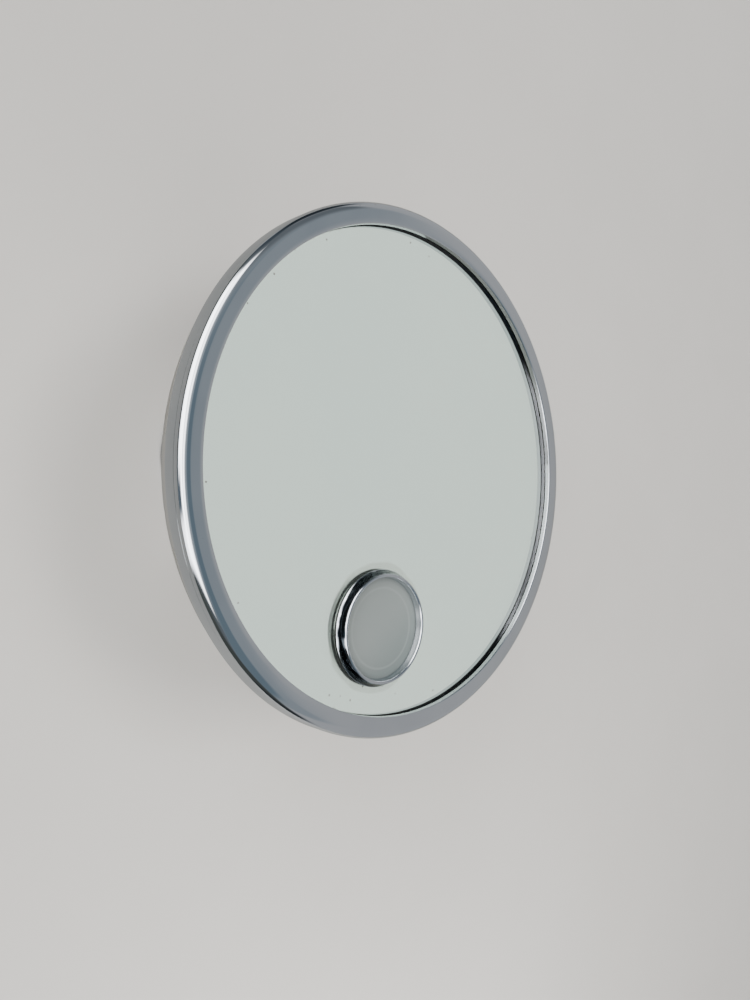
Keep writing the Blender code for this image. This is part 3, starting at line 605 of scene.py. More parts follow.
def make_frame():
    """Lip, flat face, rounded side, groove and skirt, turned in one piece and rolled in at the back."""
    front, skirt, rear = GLASS_FRONT, RING_R - 0.1, RING_BACK
    lip_edge, lip_roll, back_roll = 2.2, 0.55, 0.9
    inner = skirt - 1.0
    rolled_r, rolled_thick = inner - 1.1, 0.8
    groove_r, seat_r = RING_R - 0.9, LIP_R + 4.4
    roll = arc((LIP_R + lip_roll, front - lip_edge), lip_roll, 180, 264, 8)
    lip = [(LIP_R, front - PLAY), (LIP_R, front - lip_edge), *roll]
    face = [(LIP_R + 2.5, front - 2.87), (LIP_R + 4.3, front - 2.965)]
    bead = []
    for degrees in range(-2, 87, 4):
        turn = math.radians(degrees)
        sink = BEAD_R * (1 - math.cos(turn))
        bead.append((RING_R - BEAD_R * (1 - math.sin(turn)), front + sink - BEAD_PROUD))
    groove = [(groove_r, front + 1.4), (groove_r, front + 1.7)]
    back = [(skirt - 0.12, front + 1.74), (skirt, front + 1.95), (skirt, rear - 1.0)]
    back += arc((skirt - back_roll, rear - back_roll), back_roll, 0, 90, 6)
    rolled_front = rear - rolled_thick
    rolled = [(rolled_r, rear), (rolled_r, rolled_front), (inner, rolled_front), (inner, front + 2.8)]
    seat = [(seat_r, front + PLAY), (seat_r, front - PLAY)]
    ring = turned([*lip, *face, *bead, *groove, *back, *rolled, *seat], "Y", 288, HEAD_AT)
    piece("bead_frame", ring, chrome("frame_chrome", wear=0.7), ["front_ring"], sharp=50)


def make_glass():
    """A bevelled pane with a hole for the window, and the silver coat on its back."""
    rim = radius_of("mirror_glass")
    window = (0, WINDOW.z - GLASS.z)
    air, silver_thick, inset = 0.02, 0.06, 0.4
    thick = GLASS_BACK - GLASS_FRONT - silver_thick - air
    outline = [circle((0, 0), rim, 256), circle(window, WINDOW_HOLE_R, 96)]
    pane = extruded(outline, GLASS_FRONT, GLASS_FRONT + thick, "Y", HEAD_AT)
    piece("glass_pane", pane, clear_glass(), ["mirror_glass"], bevel=0.35, segments=2)
    outline = [circle((0, 0), rim - inset, 256), circle(window, WINDOW_HOLE_R + inset, 96)]
    coat = extruded(outline, GLASS_BACK - silver_thick, GLASS_BACK, "Y", HEAD_AT)
    piece("silver_coat", coat, silver(), ["mirror_glass"])


def make_window():
    """The bezel is a steep ridge with a tight crest. The lens sits in its bore, just under the crest."""
    base = GLASS_FRONT - PLAY
    tube_r, tube_end, bore = 25.5, high("window_bezel").y, 24.4
    # The ridge's outer wall gets a painted dark reflection: a near-black band on the chrome.
    dark_band_from, dark_band_to = 25.2, 26.75
    seat = base - LENS_SEAT
    foot = arc((BEZEL_R - 0.25, 0), 0.25, 0, 60, 4)
    wall = [(26.78, 0.3), (26.36, 1.3), (25.92, 2.3), (25.5, 3.2)]
    inside = [(23.45, 3.0), (23.25, 2.4), (23.05, 1.8), (BEZEL_HOLE_R, LENS_SEAT + 0.1)]
    ridge = [*foot, *wall, *arc(CREST_AT, CREST_R, 25, 178, 16), *inside]
    crown = [(radius, base - height) for radius, height in ridge]
    tube = [(BEZEL_HOLE_R, seat), (bore, seat), (bore, tube_end)]
    tube += [(tube_r - 0.3, tube_end), (tube_r, tube_end - 0.3), (tube_r, base)]
    bezel = turned([*crown, *tube], "Y", 144, WINDOW_AT)
    finish = chrome("bezel_chrome", 0.4, (WINDOW_AT, dark_band_from, dark_band_to))
    piece("bezel", bezel, finish, ["window_bezel"], sharp=50)
    lens_front, lens_back = low("window_lens").y, high("window_lens").y
    radius = radius_of("window_lens")
    soft = 0.4
    lens = [(0, lens_front), (radius - soft, lens_front), (radius, lens_front + soft)]
    lens += [(radius, lens_back), (0, lens_back)]
    piece("lens", turned(lens, "Y", 96, WINDOW_AT), lens_glass(), ["window_lens"])


def make_inside_of_head():
    """Felt pad, backing plate and the rings that hold the bezel and the lens."""
    window = (0, WINDOW.z - GLASS.z)
    for name, node, hole, finish, soft in (
        ("felt_pad", "backing_pad", 31.5, felt(), 0.3),
        ("backing_disc", "back_plate", WINDOW_HOLE_R, steel("backing_steel"), 0.2),
    ):
        radius = radius_of(node)
        outline = [circle((0, 0), radius, 160), circle(window, hole, 72)]
        piece(name, extruded(outline, low(node).y, high(node).y, "Y", HEAD_AT), finish, [node], bevel=soft)
    metal = brass("lens_ring_brass")
    wire_r, coil_r = 0.68, 23.4
    ring = circle((coil_r, middle("lens_retainer").y), wire_r, 16)
    piece("lens_spring_ring", turned(ring, "Y", 96, WINDOW_AT), metal, ["lens_retainer"])
    start, end = low("bezel_nut").y, high("bezel_nut").y
    bore, outer = 25.85, radius_of("bezel_nut")
    section = rounded([(bore, start), (outer, start), (outer, end), (bore, end)], 0.35)
    knurled = turned(section, "Y", 240, WINDOW_AT, flutes=(60, 0.35, outer - 0.5))
    piece("bezel_ring_nut", knurled, metal, ["bezel_nut"])


# ---- Head: shell, switch and lamp ----


def make_shell():
    """A spun dish held in the frame's rolled edge, with holes for the screws, the switch and the leads."""
    front, back = low("rear_shell").y, high("rear_shell").y
    rim_r = radius_of("rear_shell")
    wall = 1.2
    flat_r = 76.0
    rolled_thick = 0.8
    flange = RING_BACK - rolled_thick - PLAY
    curve = [(122.4, flange), (122.25, -153), (121.2, -148.6), (119.2, -144.4), (116.4, -140.4)]
    curve += [(112.6, -136.9), (107.8, -133.6), (102, -131.0), (95.4, -129.2), (88, -128.0), (flat_r, back)]
    outer = [(rim_r, front), (rim_r, flange), *curve, (0, back)]
    inner = [(0, back - wall), (flat_r, back - wall), (87.6, -129.2), (94.8, -130.4), (101.3, -132.3)]
    inner += [(107, -134.8), (111.6, -138), (115.2, -141.3), (118, -145.1), (120, -149.2)]
    inner += [(121, -153.3), (121, front)]
    holes = [(x, GLASS.z, 2.1) for x in CLEVIS_SCREWS]
    holes += [(*middle("switch_nut").xz, 5.5), (*middle("head_grommet").xz, 4.3)]
    cuts = [("DIFFERENCE", rod(radius, back - 4, back + 3, at=(x, 0, z))) for x, z, radius in holes]
    dish = combined("shell", turned([*outer, *inner], "Y", 192, HEAD_AT), cuts)
    piece("shell", dish, spun_nickel("shell_nickel", HEAD_AT), ["rear_shell"], sharp=28)


def make_switch():
    """A toggle switch: ribbed moulded body, threaded bush, hexagon nut and a drop-shaped lever."""
    at = middle("switch_nut")
    centre = (at.x, 0, at.z)
    shell_wall, thread_pitch, lever_lean = 1.2, 0.62, -13
    bottom = low("switch_body").y
    case_end, bush_end = high("rear_shell").y - shell_wall - PLAY, high("switch_body").y
    case = extruded([rounded_box(7, 10, 1.2)], bottom, case_end, "Y", centre)
    bush = [(0, case_end - 1), (5.2, case_end - 1), (5.2, bush_end - 0.3), (4.9, bush_end), (0, bush_end)]
    cuts = [("UNION", turned(bush, "Y", 48, centre))]
    for turn in range(5):
        y = high("switch_nut").y + 0.35 + turn * thread_pitch
        cuts.append(("DIFFERENCE", turned([(4.85, y), (5.5, y - 0.18), (5.5, y + 0.18)], "Y", 48, centre)))
    cuts.append(("DIFFERENCE", rod(3.7, case_end - 1, bush_end + 1, at=centre)))
    for side in (-1, 1):
        for z in (-5, 0, 5):
            place = (at.x + side * 7, 0, at.z + z)
            rib = extruded([rounded_box(0.5, 1.5, 0.3)], bottom + 2, case_end - 2, "Y", place)
            cuts.append(("DIFFERENCE", rib))
    case = combined("switch_case", case, cuts)
    piece("switch_case", case, bakelite(), ["switch_body"], bevel=0.15, sharp=35)
    nut_low, nut_high = low("switch_nut").y, high("switch_nut").y
    nut = extruded([circle((0, 0), 8, 6), circle((0, 0), 5.5, 40)], nut_low, nut_high, "Y", centre)
    piece("switch_hex_nut", nut, steel("nut_nickel", (0.60, 0.57, 0.52), 0.24), ["switch_nut"], bevel=0.3)
    pivot = Vector((middle("switch_lever").x, high("rear_shell").y + 1.4, at.z))
    ball = [(0, -2.4), (0.9, -2.3), (1.9, -1.4), (2.3, 0), (2.0, 1.1)]
    neck = [(1.3, 2.2), (1.15, 3.6), (1.2, 5), (1.5, 8.5)]
    drop = [(2.0, 12), (2.3, 14), (2.28, 15), (2.1, 15.8), (1.5, 16.5), (0.8, 16.9), (0, 17)]
    mesh = turned([*ball, *neck, *drop], "Y", 48)
    lean = Matrix.Rotation(math.radians(lever_lean), 3, "X")
    bmesh.ops.rotate(mesh, cent=(0, 0, 0), matrix=lean, verts=mesh.verts)
    bmesh.ops.translate(mesh, verts=mesh.verts, vec=pivot)
    piece("switch_toggle", mesh, chrome("toggle_chrome", wear=0.5), ["switch_lever"], sharp=60)


def make_grommets():
    finish = rubber()
    lip, bulge, soft = 1.4, 0.35, 0.8
    for name, node in (("inlet_grommet", "wall_grommet"), ("lead_grommet", "head_grommet")):
        at, front, back = middle(node), low(node).y, high(node).y
        flange = radius_of(node)
        neck, bore = flange - 2.5, flange - 4.3
        lip_r = flange - soft
        front_lip = [*arc((lip_r, front + soft), soft, 270, 360, 6), (flange, front + lip)]
        waist = [(neck, front + lip), (neck, back - lip)]
        back_lip = [(flange, back - lip), *arc((lip_r, back - soft), soft, 0, 90, 6)]
        eye = [(bore + bulge, back), (bore, back - bulge), (bore, front + bulge)]
        profile = [(bore + bulge, front), *front_lip, *waist, *back_lip, *eye]
        piece(name, turned(profile, "Y", 64, (at.x, 0, at.z)), finish, [node], sharp=45)


def make_lamp():
    """Tubular bulb, screw cap with its thread, socket, trough reflector and the bracket that holds them."""
    at = (0, middle("bulb_glass").y, 0)
    base, neck = low("bulb_glass").z, high("bulb_glass").z
    bulb_r = radius_of("bulb_glass")
    dome = arc((0, base + bulb_r), bulb_r, -90, 0, 18)
    shoulder = [(bulb_r, neck - 6), (bulb_r - 0.5, neck - 4), (7.3, neck - 2), (6.7, neck - 0.8)]
    bulb = turned([*dome, *shoulder, (6.6, neck), (0, neck)], "Z", 72, at)
    piece("bulb", bulb, frosted("bulb_frosting", (0.72, 0.73, 0.70)), ["bulb_glass"])
    cap_low, cap_high = low("bulb_cap").z, high("bulb_cap").z
    thread = [(6.3 + 0.45 * math.cos(t * math.tau / 8), cap_low + 2.2 + 12.4 * t / 40) for t in range(41)]
    contact = [(6.2, cap_high - 3), (3, cap_high - 0.4), (2, cap_high), (0, cap_high)]
    cap = [(0, cap_low), (6.6, cap_low), (6.75, cap_low + 1), *thread, *contact]
    piece("bulb_screw_cap", turned(cap, "Z", 72, at), brass("cap_brass"), ["bulb_cap"], sharp=50)
    mouth, end = low("lamp_socket").z, high("lamp_socket").z
    bore, deep = 7.2, cap_high + 0.5
    rim = [(bore, mouth + 0.3), (7.5, mouth), (9.3, mouth), (9.6, mouth + 0.3)]
    groove = [(9.6, mouth + 5), (9.1, mouth + 5.6), (9.1, mouth + 6.6), (9.6, mouth + 7.2)]
    socket = [*rim, *groove, (9.6, end - 3), (9.2, end - 1.2), (8.4, end), (0, end), (0, deep), (bore, deep)]
    piece("socket", turned(socket, "Z", 72, at), porcelain(), ["lamp_socket"], sharp=50)
    trough = [*arc((0, 0), 12.1, -8, 188, 56), *arc((0, 0), 11.3, 188, -8, 56)]
    sheet = extruded([trough], low("lamp_reflector").z, high("lamp_reflector").z, "Z", at)
    piece("reflector", sheet, reflector_sheet(), ["lamp_reflector"], bevel=0.15, sharp=30)
    box_low, box_high = low("socket_bracket"), high("socket_bracket")
    half, corner, wall_half, sheet = (box_high.x - box_low.x) / 2, 4, 7.8, 1.2
    front, back, foot_z = box_low.y, box_high.y, box_low.z + 0.3
    foot = [(-half, front), (half, front), (half, back - corner), (half - corner, back)]
    foot += [(corner - half, back), (-half, back - corner)]
    leg = extruded([foot, circle((0, at[1]), 5, 40)], box_low.z, box_low.z + sheet, "Z")
    wall = [(-wall_half, foot_z), (wall_half, foot_z), (wall_half, box_high.z), (-wall_half, box_high.z)]
    wall = extruded([rounded(wall, 2)], front + 0.02, front + sheet, "Y")
    bracket = combined("bracket", leg, [("UNION", wall)])
    piece("lamp_bracket", bracket, steel("bracket_steel"), ["socket_bracket"], bevel=0.15)


def dress_leads():
    """The leads keep their solids and take a woven finish."""
    brown, blue = (0.13, 0.06, 0.03), (0.04, 0.08, 0.24)
    for nodes, colour in ((("lead_live", "lead_lamp"), brown), (("lead_neutral",), blue)):
        finish = wire(f"{nodes[0]}_sleeve", colour)
        for node in nodes:
            obj = frame["nodes"][node]
            for place in obj.material_slots:
                place.material = finish


# ---- Screws, rivets and pins ----


def slotted(name, profile, axis, at, head_r, head_front, slot_width, slot_depth, facing):
    """A turned screw with a slot across its head."""
    body = turned(profile, axis, 48, at)
    edges = sorted((head_front, head_front + facing * slot_depth))
    spare = 1
    if facing > 0:
        edges[0] -= spare
    else:
        edges[1] += spare
    saw = extruded([rounded_box(head_r + spare, slot_width / 2, 0.05, 1)], *edges, axis, at)
    return combined(name, body, [("DIFFERENCE", saw)])


def screw(name, node, head_r, head, finish, facing):
    """A round-head screw along Y. facing is the sense of Y that its head looks to."""
    at = middle(node)
    near, far = low(node).y, high(node).y
    crown, tip = (near, far) if facing < 0 else (far, near)
    shank = 1.8 if facing > 0 else 1.9
    under = crown - facing * head
    dome = arc((0, under), (head_r, facing * head), 0, 90, 9)
    thread = []
    pitch, slot = 0.9, 0.9
    turns = int(abs(under - tip) / pitch) - 1
    for i in range(turns):
        y = tip + (under - tip) * (i + 0.5) / turns
        thread += [(shank, y - math.copysign(0.2, under - tip)), (shank - 0.25, y)]
    profile = [(0, tip), (shank - 0.3, tip), *thread, (shank, under), *dome]
    made = slotted(name, profile, "Y", (at.x, 0, at.z), head_r, crown, slot, slot, -facing)
    piece(name, made, finish, [node], sharp=35)


def make_screws():
    finish = steel("screw_steel", (0.46, 0.46, 0.47), 0.3)
    for name, node, head_r, head, facing in (
        ("wall_screw_l", "wall_screw_left", 3.6, 2.0, -1),
        ("wall_screw_r", "wall_screw_right", 3.6, 2.0, -1),
        ("channel_screw_bottom", "channel_screw_lower", 3.4, 1.8, -1),
        ("channel_screw_top", "channel_screw_upper", 3.4, 1.8, -1),
        ("clevis_screw_l", "clevis_screw_left", 3.2, 1.8, 1),
        ("clevis_screw_r", "clevis_screw_right", 3.2, 1.8, 1),
    ):
        screw(name, node, head_r, head, finish, facing)


def rivet_profile(shank_r, half, head_r, head, sleeves=(), sleeve_r=3.2):
    """A rivet about its middle: two domed heads with a small struck flat, and sleeves on the shank."""
    turns = [math.radians(degrees) for degrees in range(0, 76, 8)]
    dome = [(head_r * math.cos(turn) ** 0.8, half + head * math.sin(turn)) for turn in turns]
    dome.append((0.3 * head_r, half + head))
    lower = [(radius, -along) for radius, along in reversed(dome)]
    points = [(0, -half - head), *lower, (head_r - 0.1, -half), (shank_r, -half)]
    for start, end in sleeves:
        points += [(shank_r, start), (sleeve_r, start + 0.01), (sleeve_r, end - 0.01), (shank_r, end)]
    points += [(shank_r, half), (head_r - 0.1, half), *dome, (0, half + head)]
    return points


def make_rivets():
    finish = steel("rivet_steel_worn", (0.52, 0.52, 0.53), 0.26, 0.8)
    shank_r = 2.0
    for node in sorted(SLOTS):
        at = middle(node)
        if node in CHANNEL_PINS:
            inner = CHANNEL_INNER - PLAY
            layer = CHANNEL_PINS[node]
            grip = sorted((layer * (LINK_INNER - PLAY), layer * (LINK_OUTER + PLAY)))
            sleeves = [(-inner, grip[0]), (grip[1], inner)]
            profile = rivet_profile(shank_r, CHANNEL_OUTER + PLAY, 4.0, 1.5, sleeves)
        elif "_pin_" in node:
            profile = rivet_profile(shank_r, LINK_OUTER + PLAY, 3.6, 1.4)
        else:
            continue
        piece(f"{node}_rivet", turned(profile, "X", 40, (0, at.y, at.z)), finish, [node], sharp=50)


# ---- Lazy tongs and channels ----


def make_links():
    """Flat bars with round ends, a rolled edge and three holes."""
    finish = nickel("link_nickel")
    for stage in range(1, 5):
        for letter, lean in (("a", 1), ("b", -1)):
            node = f"link_{letter}{stage}"
            bottom, top = low(node), high(node)
            mid = middle(node)
            run = (top.y - bottom.y) / 2 - LINK_END_R
            rise = (top.z - bottom.z) / 2 - LINK_END_R
            ends = [(mid.y + lean * run, -rise), (mid.y - lean * run, rise)]
            holes = [circle(place, PIN_HOLE_R, 32) for place in (*ends, (mid.y, 0))]
            bar = extruded([slot_outline(*ends, LINK_END_R), *holes], bottom.x, top.x, "X")
            piece(f"bar_{letter}{stage}", bar, finish, [node], bevel=0.35, segments=3)


def make_channel(name, node, base_y, pivot_y, facing, extras):
    """A U channel folded from sheet: the folds are round, and the flanges have a pivot hole and a slot."""
    half_height = high(node).z
    inner_r, outer_r = 0.8, 0.8 + SHEET
    far = base_y + facing * 18.6
    start = base_y + facing * outer_r
    turn = (180, 270) if facing > 0 else (180, 90)
    outer = [(-CHANNEL_OUTER, far), *arc((outer_r - CHANNEL_OUTER, start), outer_r, *turn, 8)]
    inner = [(-CHANNEL_INNER, far), *arc((inner_r - CHANNEL_INNER, start), inner_r, *turn, 8)]
    outer += [(-x, y) for x, y in reversed(outer)]
    inner += [(-x, y) for x, y in reversed(inner)]
    body = extruded([[*outer, *reversed(inner)]], -half_height, half_height, "Z")
    rise, reach = pivot_height(), CHANNEL_OUTER + 2
    slot_low = -rise + LINK_LENGTH * math.cos(math.radians(61))
    slot = slot_outline((pivot_y, slot_low), (pivot_y, rise + 1.5), PIN_HOLE_R)
    corners = [
        [(far + facing, end * (half_height - 4.2)), (far + facing, end * (half_height + 1)),
         (far - facing * 4, end * (half_height + 1))]
        for end in (-1, 1)
    ]
    shapes = [circle((pivot_y, -rise), PIN_HOLE_R, 32), slot, *corners]
    cuts = [("DIFFERENCE", extruded([shape], -reach, reach, "X")) for shape in shapes]
    return combined(name, body, [*cuts, *extras])


def pivot_height():
    return (high("link_a1").z - low("link_a1").z) / 2 - LINK_END_R


def make_channels():
    rear_pivot, front_pivot = middle("rear_lower_pin").y, middle("front_lower_pin").y
    rear_base = high("rear_channel").y
    holes = [
        ("DIFFERENCE", rod(2.2, rear_base - 4, rear_base + 2, "Y", 32, (0, 0, z))) for z in CHANNEL_SCREWS
    ]
    rear = make_channel("rear_guide", "rear_channel", rear_base, rear_pivot, -1, holes)
    piece("rear_guide", rear, nickel("channel_nickel"), ["rear_channel"], bevel=0.2, segments=2)
    base = front_pivot - 10.4
    swivel = middle("swivel_pin")
    ears = []
    ear_r, hole_r = 7, 2.8
    outline = [(ear_r, base + 1), *arc((0, swivel.y), ear_r, 0, -180, 32), (-ear_r, base + 1)]
    for side in (-1, 1):
        edges = sorted((swivel.z + side * 9, swivel.z + side * 11))
        ears.append(("UNION", extruded([outline, circle((0, swivel.y), hole_r, 40)], *edges, "Z")))
    front = make_channel("front_guide", "front_channel", base, front_pivot, 1, ears)
    piece("front_guide", front, nickel("carriage_nickel"), ["front_channel"], bevel=0.2, segments=2)


# ---- Swivel and tilt ----


def make_knuckle():
    """A cast block: an upright boss for the swivel, a level eye for the tilt and a waisted web between."""
    swivel = middle("swivel_pin")
    tilt_y = swivel.y - ARM_TO_TILT
    bore, reach = 2.8, 20

    def boss(radius, half):
        crown = 0.8
        upper = [(radius, half - crown), (radius - crown, half), (0, half)]
        return [*[(r, -along) for r, along in reversed(upper)], *upper]

    waist = [(-4.2, -4.6), (4.2, -4.6), (4.2, 4.6), (-4.2, 4.6)]
    steps = [
        ("UNION", turned(boss(6.4, 6.9), "X", 72, (0, tilt_y, swivel.z))),
        ("UNION", extruded([rounded(waist, 1.6, 6)], tilt_y, swivel.y, "Y", (0, 0, swivel.z))),
        ("DIFFERENCE", rod(bore, -reach, reach, "Z", 48, (0, swivel.y, swivel.z))),
        ("DIFFERENCE", rod(bore, -reach, reach, "X", 48, (0, tilt_y, swivel.z))),
    ]
    block = combined("knuckle_block", turned(boss(6.5, 8.7), "Z", 72, (0, swivel.y, swivel.z)), steps)
    finish = chrome("knuckle_chrome", wear=1.0)
    piece("knuckle_block", block, finish, ["swivel_knuckle"], bevel=0.35, segments=3, sharp=35)
    pin_half = (high("swivel_pin").z - low("swivel_pin").z) / 2 - 2
    pin = turned(rivet_profile(2.5, pin_half, 4.6, 2.0), "Z", 56, (0, swivel.y, swivel.z))
    piece("swivel_rivet", pin, chrome("swivel_chrome", wear=0.8), ["swivel_pin"], sharp=50)


def make_clevis():
    """A folded yoke screwed to the shell, with the tilt pin through its ears and a knurled nut on the pin."""
    back = low("tilt_clevis").y
    tilt_y = middle("swivel_pin").y - ARM_TO_TILT
    z = GLASS.z
    holes = [circle((x, 0), 2.1, 32) for x in reversed(CLEVIS_SCREWS)]
    base = extruded([rounded_box(17, 13, 4), *holes], back, back + 2, "Y", (0, 0, z))
    ear = [(back + 0.5, -10), *arc((tilt_y, 0), 7, -75, 75, 24), (back + 0.5, 10)]
    steps = []
    for side in (-1, 1):
        edges = sorted((side * 7.2, side * 9.4))
        steps.append(("UNION", extruded([ear, circle((tilt_y, 0), 2.8, 40)], *edges, "X", (0, 0, z))))
        hollow = arc((side * 11.2, back + 3.9), 1.9, -90, -90 - side * 90, 8)
        fillet = [(side * 9.3, back + 1.9), (side * 11.2, back + 1.9), *hollow]
        steps.append(("UNION", extruded([fillet], z - 8.5, z + 8.5, "Z")))
    yoke = combined("yoke", base, steps)
    piece("yoke", yoke, chrome("clevis_chrome", wear=0.9), ["tilt_clevis"], bevel=0.3, segments=3, sharp=35)
    start, end = low("tilt_pin").x, high("tilt_pin").x
    shank_r, edge = 2.5, 9.7
    head = [(0, start), (2.2, start), (3.4, start + 0.25), (4.2, start + 0.8), (4.6, start + 1.4)]
    head.append((4.6, -edge))
    thread = []
    for i in range(8):
        x = edge + 0.6 + i * 0.75
        thread += [(shank_r, x - 0.3), (2.2, x)]
    pin = [*head, (shank_r, -edge), *thread, (shank_r, end - 0.5), (2.0, end), (0, end)]
    pin = turned(pin, "X", 56, (0, tilt_y, z))
    piece("tilt_screw", pin, chrome("tilt_chrome", wear=0.8), ["tilt_pin"], sharp=40)
    start, end = low("tilt_nut").x, high("tilt_nut").x
    shoulder = [(2.8, start), (4.8, start), (5.2, start + 0.2), (6.6, start + 0.9), (7.4, start + 1.4)]
    crown = [(7.4, end - 1.6), (7.0, end - 1.0), (6.2, end - 0.2), (5.8, end), (3.4, end), (2.8, end - 0.5)]
    knurled = turned([*shoulder, *crown], "X", 288, (0, tilt_y, z), flutes=(36, 0.5, 6.7))
    piece("tilt_thumb_nut", knurled, chrome("nut_chrome", wear=0.6), ["tilt_nut"], sharp=50)


# ---- Wall rosette ----


def make_rosette():
    """A stepped dish over the wall plate, with holes for the channel's screws and for the cord inlet."""
    front, back = low("rosette_cover").y, high("rosette_cover").y
    rim = radius_of("rosette_cover")
    wall, inlet = 1.0, middle("wall_grommet")
    roll = arc((rim - 1.5, -2.2), (1.5, 1.7), 0, -78, 10)
    outer = [(rim, back), (rim, -1.9), *roll, (39.4, -4.2), (38.6, -4.9), (36, -5.9), (33, -6.7), (29, -7.55)]
    outer += [(26.4, -8.5), (25.6, front + 0.25), (24.6, front), (0, front)]
    inner = [(0, front + wall), (24.6, front + wall), (26, -7.3), (28.7, -6.4), (34.4, -4.6), (38, -3.4)]
    inner += [(rim - wall, -2.2), (rim - wall, back)]
    holes = [(0, z, 2.2) for z in CHANNEL_SCREWS] + [(inlet.x, inlet.z, 4.3)]
    cuts = [("DIFFERENCE", rod(radius, front - 2, front + 3, "Y", 48, (x, 0, z))) for x, z, radius in holes]
    cover = combined("rosette", turned([*outer, *inner], "Y", 160), cuts)
    piece("rosette", cover, chrome("rosette_chrome", wear=0.8), ["rosette_cover"], sharp=30)


def make_wall_plate():
    """A pressed steel disc with two screw holes and two tapped pillars for the channel."""
    front, back = low("wall_plate").y, high("wall_plate").y
    plate_r = radius_of("wall_plate")
    thick, hole_r = 2.0, 2.2
    holes = [circle((x, 0), hole_r, 32) for x in PLATE_SCREWS]
    disc = extruded([circle((0, 0), plate_r, 128), *holes], -thick, back, "Y")
    steps = []
    pillar = [(0, front), (3.8, front), (4.2, front + 0.4), (4.2, -thick - 0.6), (4.9, -thick)]
    pillar += [(4.9, -1), (0, -1)]
    for z in CHANNEL_SCREWS:
        steps.append(("UNION", turned(pillar, "Y", 48, (0, 0, z))))
        steps.append(("DIFFERENCE", rod(hole_r, front - 1, 1, "Y", 32, (0, 0, z))))
    plate = combined("plate", disc, steps)
    piece("plate", plate, steel("plate_steel", (0.48, 0.48, 0.49), 0.36), ["wall_plate"], bevel=0.2)


def make_terminals():
    """A ceramic block with two screw wells and a barrier between them."""
    box_low, box_high = low("terminal_block"), high("terminal_block")
    mid = middle("terminal_block")
    half = (box_high - box_low) / 2
    block = extruded([rounded_box(half.x, half.z, 1.5)], box_low.y, box_high.y, "Y", (mid.x, 0, mid.z))
    cuts = []
    front = box_low.y
    for x in (-9, 1):
        cuts.append(("DIFFERENCE", rod(1.6, front - 1, -4.5, at=(x, 0, 0))))
    for side in (-1, 1):
        place = (mid.x, 0, side * (half.z - 1.2))
        groove = extruded([rounded_box(0.5, 2.2, 0.2)], front - 1, front + 1.2, "Y", place)
        cuts.append(("DIFFERENCE", groove))
    piece("terminals", combined("terminals", block, cuts), porcelain(), ["terminal_block"], bevel=0.35)


# ---- Stage, light and camera ----

CAMERA_FROM_GLASS = Vector((-265.3, -262.6, -82.8))
CAMERA_YAW = math.radians(43.27)
CAMERA_PITCH = math.radians(10.085)
CAMERA_ROLL = math.radians(10.828)
CAMERA_LENS = 28.8


def make_camera():
    """The camera stands left of the mirror, a little below its middle, and looks up and to the right."""
    level = math.cos(CAMERA_PITCH)
    ahead = Vector((math.sin(CAMERA_YAW) * level, math.cos(CAMERA_YAW) * level, math.sin(CAMERA_PITCH)))
    right = Vector((math.cos(CAMERA_YAW), -math.sin(CAMERA_YAW), 0))
    up = right.cross(ahead)
    across = right * math.cos(CAMERA_ROLL) + up * math.sin(CAMERA_ROLL)
    over = up * math.cos(CAMERA_ROLL) - right * math.sin(CAMERA_ROLL)
    data = bpy.data.cameras.new("camera")
    data.sensor_width = 36
    data.lens = CAMERA_LENS
    camera = bpy.data.objects.new("camera", data)
    bpy.context.scene.collection.objects.link(camera)
    turn = Matrix((across, over, -ahead)).transposed().to_4x4()
    place = (Vector((0, GLASS_FRONT, GLASS.z)) + CAMERA_FROM_GLASS) * MM
    camera.matrix_world = Matrix.Translation(place) @ turn
    bpy.context.scene.camera = camera


def flat(loops, y):
    """A flat face across Y that looks toward -Y, from an outline in (x, z) and its holes."""
    mesh = bmesh.new()
    edges = []
    for loop in loops:
        verts = [mesh.verts.new((u, y, v)) for u, v in loop]
        edges += [mesh.edges.new(pair) for pair in zip(verts, verts[1:] + verts[:1])]
    bmesh.ops.triangle_fill(mesh, use_beauty=True, use_dissolve=False, edges=edges)
    mesh.faces.ensure_lookup_table()
    mesh.normal_update()
    bmesh.ops.reverse_faces(mesh, faces=[face for face in mesh.faces if face.normal.y > 0])
    return mesh


def stage_object(name, mesh, finish):
    bmesh.ops.scale(mesh, vec=(MM, MM, MM), verts=mesh.verts)
    data = bpy.data.meshes.new(name)
    mesh.to_mesh(data)
    mesh.free()
    data.materials.append(finish)
    obj = bpy.data.objects.new(name, data)
    bpy.context.scene.collection.objects.link(obj)
    return obj


